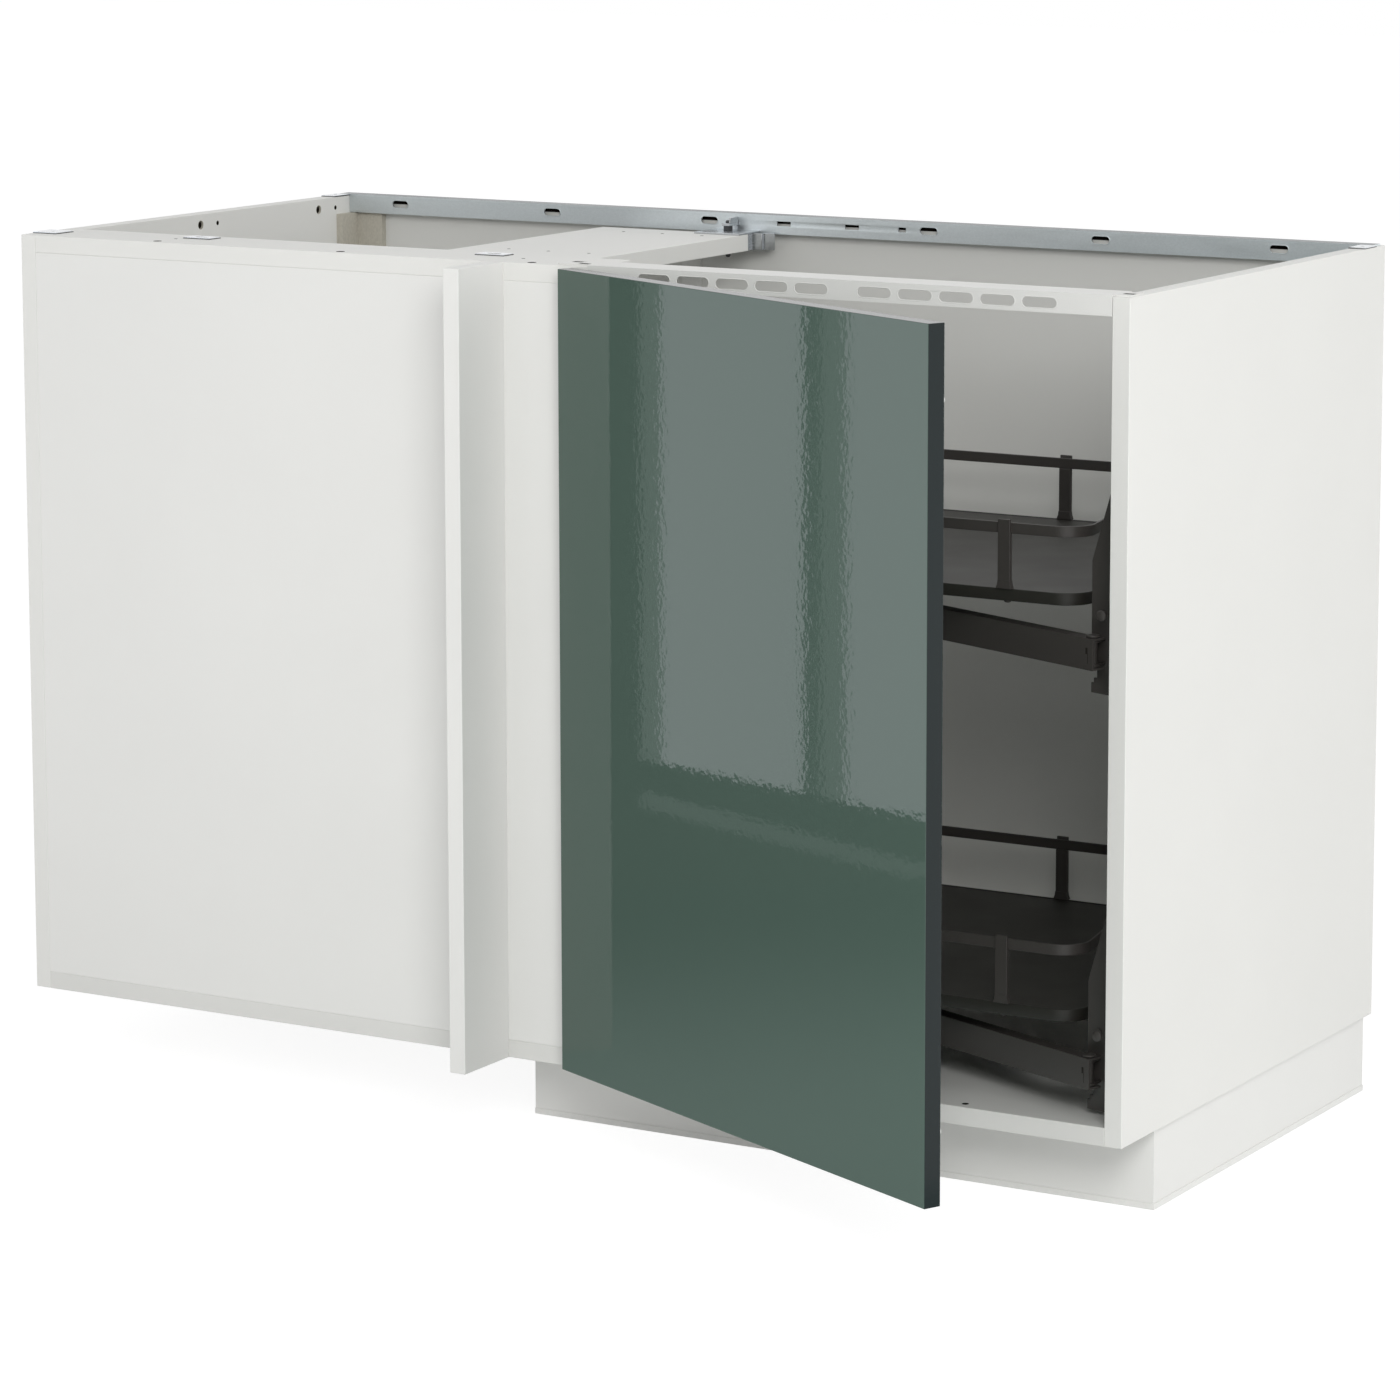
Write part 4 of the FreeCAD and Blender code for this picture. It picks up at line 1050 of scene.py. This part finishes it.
class CABINET_OT_vent(bpy.types.Operator):
    """Build the ventilation rail's eased sheet, the lips of its slots and the near-black floors painted
    as shade in its hook slots
    """
    bl_idname = "cabinet.vent"
    bl_label = "Ventilation rail"

    def execute(self, context):
        look = context.scene.cabinet_steel
        coated = coat_material("white coat", look.coated, roughness=0.4)
        wear(coated, "back_joint_strip")
        low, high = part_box("vent_rail")
        board_low, board_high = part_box("front_top_rail")
        left = low.x + look.tab
        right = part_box("side_panel_right")[0].x
        slot_z = board_low.z + (high.z - look.fold - board_low.z) / 2
        places = [(x, low.y + look.fold / 3, slot_z)
                  for i in range(VENT_ROW)
                  for x in (left + look.vent_first + i * look.vent_pitch,
                            right - look.vent_first - i * look.vent_pitch)]
        rim = look.vent_rim
        repeat("vent_slot_lips", places,
               {"Length": look.vent_length + rim, "Width": look.vent_width + rim,
                "Corner": (look.vent_width + rim) / 2, "Wire": rim},
               slot_rim, (math.pi / 2, 0, 0), coated, "carcass")
        top = board_high.z
        middle = left - look.tab / 2
        # Near-black floors just under the hook slots are painted shade inside them
        floors = Clay()
        holes = Clay()
        for x, y in ((middle - look.hook, low.y + look.hook_back),
                     (middle + look.hook, low.y + look.hook_front),
                     (right + look.hook, low.y + (look.hook_back + look.hook_front) / 2)):
            for clay, z in ((floors, high.z - look.fold / 6), (holes, high.z + look.fold)):
                clay.box((x - look.hook_long / 2, y - look.hook_wide / 2, top),
                         (x + look.hook_long / 2, y + look.hook_wide / 2, z))
        ease("vent_profile", "vent_rail", coated, "carcass", "white_steel", look.fold / 4,
             cutter=holes.cutter())
        floors.make("tab_slot_floors", bpy.data.materials["dark hole"], "carcass")
        return {"FINISHED"}


class CABINET_OT_plates(bpy.types.Operator):
    """Build the pressed steel plates on the panel tops, with near-black sheets painted as the shade
    under their edges and in their slots and holes
    """
    bl_idname = "cabinet.plates"
    bl_label = "Top plates"

    def execute(self, context):
        look = context.scene.cabinet_steel
        chrome = plated_material("pressed plate", tint(look.plated, PLATE_TINT), roughness=0.2)
        for node in ("worktop_plates", "corner_plates"):
            ease(node[:-1] + "_bodies", node, chrome, "carcass", "bright_steel", look.fold / 4)
        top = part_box("front_top_rail")[1].z
        gap = look.fold / 5
        left, right = CAD_BOUNDS[0][0], CAD_BOUNDS[1][0]
        # Painted shade: a thin near-black outline under each plate, a pad in each worktop plate's slot
        # and a disc in each corner plate's hole
        floors = Clay()
        for low, high in islands("worktop_plates") + islands("corner_plates"):
            floors.box((max(low.x - gap, left), low.y - gap, top),
                       (min(high.x + gap, right), high.y + gap, top + gap * 2))
        for low, high in islands("worktop_plates"):
            middle = (low + high) / 2
            half = (high.x - low.x) / 4 - look.fold / 4
            floors.box((middle.x - half, middle.y - look.fold, top),
                       (middle.x + half, middle.y + look.fold, high.z - look.fold / 6))
        for low, high in islands("corner_plates"):
            middle = (low + high) / 2
            hole = look.fold * PLATE_HOLE
            floors.lathe((middle.x, middle.y, 0), (0, 0, 1),
                         [(top, hole), (high.z - look.fold / 6, hole)], sides=20)
        floors.make("plate_slot_floors", bpy.data.materials["dark hole"], "carcass")
        return {"FINISHED"}


class CABINET_OT_support(bpy.types.Operator):
    """Build the ribbed legs, their clips and the plinth's lip"""
    bl_idname = "cabinet.support"
    bl_label = "Legs and seal"

    def execute(self, context):
        legs = context.scene.cabinet_legs
        colour = context.scene.cabinet_trays.plastic
        plastic = coat_material("black plastic", colour, roughness=0.5, pebble=500.0)
        for node, width in (("leg_sockets", legs.leg_ease), ("leg_tubes", legs.leg_ease),
                            ("leg_feet", legs.foot_ease), ("plinth_clips", legs.clip_ease)):
            ease(node.replace("_", "") + "_body", node, plastic, "carcass", "leg_black", width)
        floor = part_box("leg_feet")[0].z
        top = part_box("leg_sockets")[1].z
        places = self.places(legs)
        repeat("leg_socket_ribs", [(x, y, top - legs.socket / 2) for x, y in places],
               {"Radius": (legs.socket_r + legs.tube_r) / 2 + legs.rib_out, "Reach": legs.rib_reach,
                "Wall": legs.rib_wall, "Height": legs.socket * RIB_HEIGHT},
               rib_ring, (0, 0, 0), plastic, "carcass")
        repeat("leg_foot_grips", [(x, y, floor + legs.foot / 2) for x, y in places],
               {"Radius": legs.foot_r, "Reach": legs.grip_reach, "Wall": legs.grip_wall,
                "Height": legs.foot * GRIP_HEIGHT},
               rib_ring, (0, 0, 0), plastic, "carcass")
        wear(soft_material("soft lip", context.scene.cabinet_boards.front, roughness=0.45),
             "plinth_seal")
        return {"FINISHED"}

    def places(self, legs):
        """Leg centres, counted from the panels and the plinth as they stand."""
        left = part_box("side_panel_left")[0].x + legs.side
        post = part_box("corner_post")[1].x
        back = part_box("side_panel_left")[1].y - legs.back
        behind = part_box("plinth_front")[1].y + legs.behind
        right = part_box("plinth_side")[0].x - legs.behind
        return [(left, back - legs.hidden), (left, back), (post + legs.side, behind),
                ((post + right) / 2, back), (right, behind), (right, back)]


class CABINET_OT_screws(bpy.types.Operator):
    """Build the screw heads with their recesses"""
    bl_idname = "cabinet.screws"
    bl_label = "Screws"

    def execute(self, context):
        look = context.scene.cabinet_screws
        plated = bpy.data.materials["plated steel"]
        recess = look.wide_r * look.recess
        holes = Clay()
        for low, high in islands("carcass_screws"):
            middle = (low + high) / 2
            holes.lathe((low.x, middle.y, middle.z), (1, 0, 0),
                        [(-look.rise, recess), (look.rise * 4, recess)], sides=6)
        ease("carcass_screw_bodies", "carcass_screws", plated, "carcass", "bright_steel",
             look.rise / 4, cutter=holes.cutter())
        sizes = {"Top": look.small_r * HEAD_TOP, "Radius": look.small_r, "Height": look.rise * 2,
                 "Recess": look.small_r * look.recess}
        for name, side, way in (("hinge", "right", 1), ("lower_bracket", "left", -1),
                                ("upper_bracket", "left", -1)):
            wear(plated, name + "_screws")
            places = []
            for low, high in islands(name + "_screws"):
                middle = (low + high) / 2
                face = high.x if way > 0 else low.x
                places.append((face - way * look.rise * HEAD_SUNK, middle.y, middle.z))
            repeat(name + "_heads_" + side, places, sizes, screw_head, (0, way * math.pi / 2, 0),
                   plated, "carcass")
        wear(plated, "cup_screws")
        return {"FINISHED"}


class CABINET_OT_door(bpy.types.Operator):
    """Finish the door and its bumpers"""
    bl_idname = "cabinet.door"
    bl_label = "Door"

    def execute(self, context):
        look = context.scene.cabinet_door
        wear(lacquer_material(look), "door_panel")
        wear(soft_material("clear bumper", look.bumper, roughness=0.3), "door_bumpers")
        return {"FINISHED"}


class CABINET_OT_hinges(bpy.types.Operator):
    """Finish the hinges"""
    bl_idname = "cabinet.hinges"
    bl_label = "Hinges"

    def execute(self, context):
        look = context.scene.cabinet_steel
        nickel = plated_material("nickel", look.nickel, roughness=0.22)
        for name, node, body, width in (
                ("hinge_base_plates", "hinge_plates", "carcass", look.hinge_ease),
                ("hinge_channel_arms", "hinge_arms", "carcass", look.hinge_ease),
                ("hinge_link_bars", "hinge_links", "hinge_links", look.hinge_ease),
                ("hinge_cup_shells", "hinge_cups", "door", look.cup_ease)):
            ease(name, node, nickel, body, "nickel", width)
        return {"FINISHED"}


class CABINET_OT_trays(bpy.types.Operator):
    """Build the trays, their arms and brackets"""
    bl_idname = "cabinet.trays"
    bl_label = "Trays"

    def execute(self, context):
        look = context.scene.cabinet_trays
        coat = coat_material("anthracite coat", look.coat, roughness=0.42)
        board = coat_material("anthracite board", look.floor, roughness=0.5, pebble=700.0)
        mat = mat_material(look.floor)
        steel = "anthracite_steel"
        for tray in TRAYS:
            body = tray + "_tray"
            ease(tray + "_wall_bracket", tray + "_bracket", coat, "carcass", steel, look.ease,
                 cutter=self.bracket_cutter(tray, look))
            ease(tray + "_pin", tray + "_arm_pin", coat, "carcass", steel, look.ease)
            ease(tray + "_arm_bar", tray + "_arm", coat, tray + "_arm", steel, look.ease * 2)
            ease(tray + "_carrier", tray + "_swivel", coat, body, steel, look.ease)
            ease(tray + "_rail_band", tray + "_tray_band", coat, body, steel, look.ease)
            ease(tray + "_rail_posts", tray + "_tray_posts", coat, body, steel, look.ease)
            ease(tray + "_shelf", tray + "_tray_base", board, body, "tray_board", look.ease * 2,
                 segments=3)
            wear(mat, tray + "_tray_mat")
            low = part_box(tray + "_bracket")[0]
            rivet = Clay()
            rivet.lathe((low.x + look.rivet_side, low.y, low.z + look.rivet_rise), (0, -1, 0),
                        [(-look.ease, look.rivet_r), (look.ease, look.rivet_r),
                         (look.ease * 2, look.rivet_r * RIVET_SHOULDER),
                         (look.ease * 3, look.rivet_r * RIVET_TOP)])
            rivet.make(tray + "_bracket_rivet", coat, "carcass")
            self.feet(tray, look, coat, body, steel)
            self.arm_end(tray, look, steel)
        return {"FINISHED"}

    def bracket_cutter(self, tray, look):
        """Takes a stepped notch out beside the arm and slants the lower edge."""
        low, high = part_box(tray + "_bracket")
        reach = look.notch * 4
        left = low.x - reach
        right = high.x + reach
        depths = (low.y - look.notch, high.y + reach)
        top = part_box(tray + "_arm")[0].z - look.ease
        step = top - look.notch_high * NOTCH_STEP
        bottom = top - look.notch_high
        inner = low.x + look.notch
        outer = low.x + look.notch * NOTCH_INNER
        notch = ((left, top), (inner, top), (inner, step), (outer, step), (outer, bottom),
                 (left, bottom))
        slant = low.z + look.bottom_slant
        wedge = ((left, low.z - reach), (right, low.z - reach), (right, low.z), (low.x, slant),
                 (left, slant))
        clay = Clay()
        for outline in (notch, wedge):
            clay.loft([[(x, y, z) for x, z in outline] for y in depths])
        return clay.cutter()

    def feet(self, tray, look, coat, body, steel):
        """Flared feet and the nubs under the rim of the posts that face front and back."""
        shelf_low, shelf_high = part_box(tray + "_tray_base")
        clay = Clay()
        nubs = []
        half = look.foot_half
        flare = [(half * FOOT_BASE, shelf_high.z - look.ease / 4)]
        flare += [(half * wide, shelf_high.z + look.foot_rise * rise) for wide, rise in FOOT_FLARE]
        for low, high in islands(tray + "_tray_posts"):
            if high.x - low.x > half * POST_WIDE or high.y - low.y > half:
                continue
            x = (low.x + high.x) / 2
            faces_front = low.y < (shelf_low.y + shelf_high.y) / 2
            edge = shelf_low.y if faces_front else shelf_high.y
            side = 1 if faces_front else -1
            face = (low.y if faces_front else high.y) - side * look.ease / 2
            near, far = sorted((face, edge + side * look.foot_back))
            clay.loft([[(x - w, near, z), (x + w, near, z), (x + w, far, z), (x - w, far, z)]
                       for w, z in flare])
            nubs.append((x, edge + side * half, shelf_low.z))
        for place_at in nubs:
            clay.lathe(place_at, (0, 0, -1),
                       [(-look.ease, half * NUB_WIDE), (look.ease * 2, half * NUB_WIDE),
                        (look.ease * 4, half * NUB_TIP)], sides=18)
        clay.make(tray + "_post_feet", coat, body, bevel=look.ease / 2)

    def arm_end(self, tray, look, steel):
        """The slot in the arm's end at the bracket, a near-black box painted as the shade inside it,
        and a dark seam beside it.
        """
        pin_low, pin_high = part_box(tray + "_arm_pin")
        arm_low, arm_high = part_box(tray + "_arm")
        along = Vector((math.cos(look.arm_turn), math.sin(look.arm_turn), 0))
        across = Vector((along.y, -along.x, 0))
        if across.y > 0:
            across = -across
        face = (pin_low + pin_high) / 2 + across * look.arm_half
        middle = (arm_low.z + arm_high.z) / 2
        high = middle + look.slot_high
        slot = Clay()
        for start, end, low in ((0.0, look.slot_wide, middle),
                                (-look.slot_wide, -look.slot_wide * SEAM,
                                 arm_low.z + look.slot_high)):
            slot.loft([[(base.x, base.y, z) for base, z in
                        ((face + along * start + across * depth, low),
                         (face + along * end + across * depth, low),
                         (face + along * end + across * depth, high),
                         (face + along * start + across * depth, high))]
                       for depth in (-look.ease / 2, look.ease / 6)])
        slot.make(tray + "_arm_slot", bpy.data.materials["dark hole"], tray + "_arm")


# Studio

def bare_material(name):
    """A material without its shader, and the tree and surface socket to build on."""
    material = bpy.data.materials.new(name)
    material.use_nodes = True
    tree = material.node_tree
    tree.nodes.clear()
    return material, tree, tree.nodes.new("ShaderNodeOutputMaterial").inputs["Surface"]


def emitter(name, colour, strength):
    """A plain emission material."""
    material, tree, surface = bare_material(name)
    glow = add_node(tree, "ShaderNodeEmission", Color=(*colour, 1), Strength=strength)
    tree.links.new(glow.outputs[0], surface)
    return material


def seen_rays(tree):
    """One where the ray comes from the camera, a gloss or a clear surface."""
    path = tree.nodes.new("ShaderNodeLightPath").outputs
    direct = maths(tree, "MAXIMUM", path["Is Camera Ray"], path["Is Glossy Ray"])
    return maths(tree, "MAXIMUM", direct, path["Is Transmission Ray"])


def area_light(name, place_at, aim, size, tone, power):
    """A soft light that is itself seen neither directly nor in gloss."""
    light = bpy.data.lights.new(name, "AREA")
    light.shape = "RECTANGLE"
    light.size, light.size_y = size
    light.energy = power
    light.color = tone
    lamp = add_object(name, light)
    lamp.location = place_at
    lamp.rotation_euler = (Vector(aim) - Vector(place_at)).to_track_quat("-Z", "Y").to_euler()
    lamp.visible_camera = False
    lamp.visible_glossy = False


def stage_quads(name, quads):
    """Stage sheets, each with its own material: quads holds (corners, material)."""
    mesh = new_mesh(name, [corner for corners, _ in quads for corner in corners],
                    [[4 * i + k for k in range(4)] for i in range(len(quads))])
    for index, (_, material) in enumerate(quads):
        mesh.materials.append(material)
        mesh.polygons[index].material_index = index
    sheet = add_object(name, mesh)
    return sheet


class CABINET_OT_stage(bpy.types.Operator):
    """Build the floor, the lights, the reflected window and the camera"""
    bl_idname = "cabinet.stage"
    bl_label = "Studio"

    def execute(self, context):
        look = context.scene.cabinet_stage
        scene = context.scene
        self.floor(look.floor_size / 2)
        self.world(scene, look.ambient)
        for power, light in LIGHTS.items():
            area_light(*light, getattr(look, power))
        self.window()
        self.camera(scene)
        scene.view_settings.view_transform = "Standard"
        return {"FINISHED"}

    def floor(self, half):
        """A pale floor that lights the cabinet fully, and is seen as white with a faint shadow."""
        material, tree, surface = bare_material("pale floor")
        bounce = add_node(tree, "ShaderNodeBsdfDiffuse", Color=FLOOR_BOUNCE)
        shade = add_node(tree, "ShaderNodeBsdfDiffuse", Color=FLOOR_SEEN)
        glow = add_node(tree, "ShaderNodeEmission", Strength=FLOOR_GLOW)
        seen = tree.nodes.new("ShaderNodeAddShader")
        tree.links.new(shade.outputs[0], seen.inputs[0])
        tree.links.new(glow.outputs[0], seen.inputs[1])
        choose = add_node(tree, "ShaderNodeMixShader", Fac=seen_rays(tree))
        tree.links.new(bounce.outputs[0], choose.inputs[1])
        tree.links.new(seen.outputs[0], choose.inputs[2])
        tree.links.new(choose.outputs[0], surface)
        corners = [(-half, -half, 0), (half, -half, 0), (half, half, 0), (-half, half, 0)]
        stage_quads("floor", [(corners, material)])

    def world(self, scene, ambient):
        """An even light, and plain white where it is seen."""
        world = bpy.data.worlds.new("studio")
        scene.world = world
        world.use_nodes = True
        tree = world.node_tree
        back = tree.nodes["Background"]
        back.inputs["Color"].default_value = (1, 1, 1, 1)
        tree.links.new(ramp(tree, seen_rays(tree), 0.0, 1.0, ambient, 1.0),
                       back.inputs["Strength"])

    def window(self):
        """A dim wall with a bright window over a ground, seen only in gloss, as the door mirrors it."""
        wall, pane, band, line, bar = (emitter(*glow) for glow in WINDOW_GLOWS)

        def sheet(y0, y1, low0, low1, high0, high1, material, step=0):
            x = WINDOW_X + step * STEP
            return ([(x, y0, low0), (x, y1, low1), (x, y1, high1), (x, y0, high0)], material)

        def sill(y):
            slope = (PANE_END - PANE_START) / (PANE_FAR - PANE_NEAR)
            return PANE_START + slope * (y - PANE_NEAR)

        def strip(y0, y1, material, step):
            return sheet(y0, y1, sill(y0), sill(y1), WINDOW_TOP, WINDOW_TOP, material, step)

        low = LINE_START + LINE_FALL * (PANE_FAR - PANE_NEAR)
        ground = [(WINDOW_X, WALL_FAR, GROUND), (GROUND_RIGHT, WALL_FAR, GROUND),
                  (GROUND_RIGHT, GROUND_BACK, GROUND), (WINDOW_X, GROUND_BACK, GROUND)]
        window = stage_quads("window", [
            sheet(WALL_FAR, WALL_NEAR, 0.0, 0.0, WINDOW_TOP, WINDOW_TOP, wall),
            sheet(PANE_FAR, PANE_NEAR, low - LINE_WIDTH, LINE_START - LINE_WIDTH, low, LINE_START,
                  line, 1),
            strip(PANE_FAR, PANE_NEAR, pane, 2), strip(BAND_END, BAND_NEAR, band, 3),
            strip(MULLION_FAR, MULLION_NEAR, bar, 3), strip(SECOND_BAND, MULLION_FAR, band, 3),
            (ground, self.ground_material())])
        window.visible_camera = False
        window.visible_diffuse = False
        window.visible_shadow = False
        window.visible_transmission = False

    def ground_material(self):
        """The ground, dark at the wall and lighter towards the door."""
        material = emitter("dim ground", GROUND_COLOUR, 1.0)
        tree = material.node_tree
        level = ramp(tree, part_of(tree, place(tree), "X"), GROUND_DARK, GROUND_LIGHT,
                     *GROUND_LEVELS, options={"interpolation_type": "SMOOTHSTEP"})
        tree.links.new(level, tree.nodes["Emission"].inputs["Strength"])
        return material

    def camera(self, scene):
        """A long lens on the right, a little above the cabinet."""
        lens = bpy.data.cameras.new("camera")
        lens.sensor_fit = "HORIZONTAL"
        lens.sensor_width = CAMERA_SENSOR
        lens.lens = CAMERA_LENS
        lens.shift_x, lens.shift_y = CAMERA_SHIFT
        lens.clip_end = CAMERA_REACH
        camera = add_object("camera", lens)
        camera.location = CAMERA_PLACE
        camera.rotation_euler = (math.radians(90 - CAMERA_DOWN), 0, math.radians(CAMERA_TURN))
        scene.camera = camera


OPERATORS = (CABINET_OT_boards, CABINET_OT_drillings, CABINET_OT_rail, CABINET_OT_clamp,
             CABINET_OT_vent, CABINET_OT_plates, CABINET_OT_support, CABINET_OT_screws,
             CABINET_OT_door, CABINET_OT_hinges, CABINET_OT_trays, CABINET_OT_stage)


class CABINET_PT_panel(bpy.types.Panel):
    """Lists the cabinet's pieces and their settings"""
    bl_label = "Corner base cabinet"
    bl_idname = "CABINET_PT_panel"
    bl_space_type = "VIEW_3D"
    bl_region_type = "UI"
    bl_category = "Cabinet"

    def draw(self, context):
        for operator in OPERATORS:
            self.layout.operator(operator.bl_idname)
        for name in LOOKS:
            box = self.layout.box()
            look = getattr(context.scene, name)
            for key in look.bl_rna.properties.keys():
                if key not in {"rna_type", "name"}:
                    box.prop(look, key)


def register():
    for name, look in LOOKS.items():
        bpy.utils.register_class(look)
        setattr(bpy.types.Scene, name, PointerProperty(type=look))
    for operator in OPERATORS:
        bpy.utils.register_class(operator)
    bpy.utils.register_class(CABINET_PT_panel)


def unregister():
    bpy.utils.unregister_class(CABINET_PT_panel)
    for operator in reversed(OPERATORS):
        bpy.utils.unregister_class(operator)
    for name, look in LOOKS.items():
        delattr(bpy.types.Scene, name)
        bpy.utils.unregister_class(look)


def main():
    register()
    for operator in OPERATORS:
        group, name = operator.bl_idname.split(".")
        getattr(getattr(bpy.ops, group), name)()


if __name__ == "__main__":
    main()
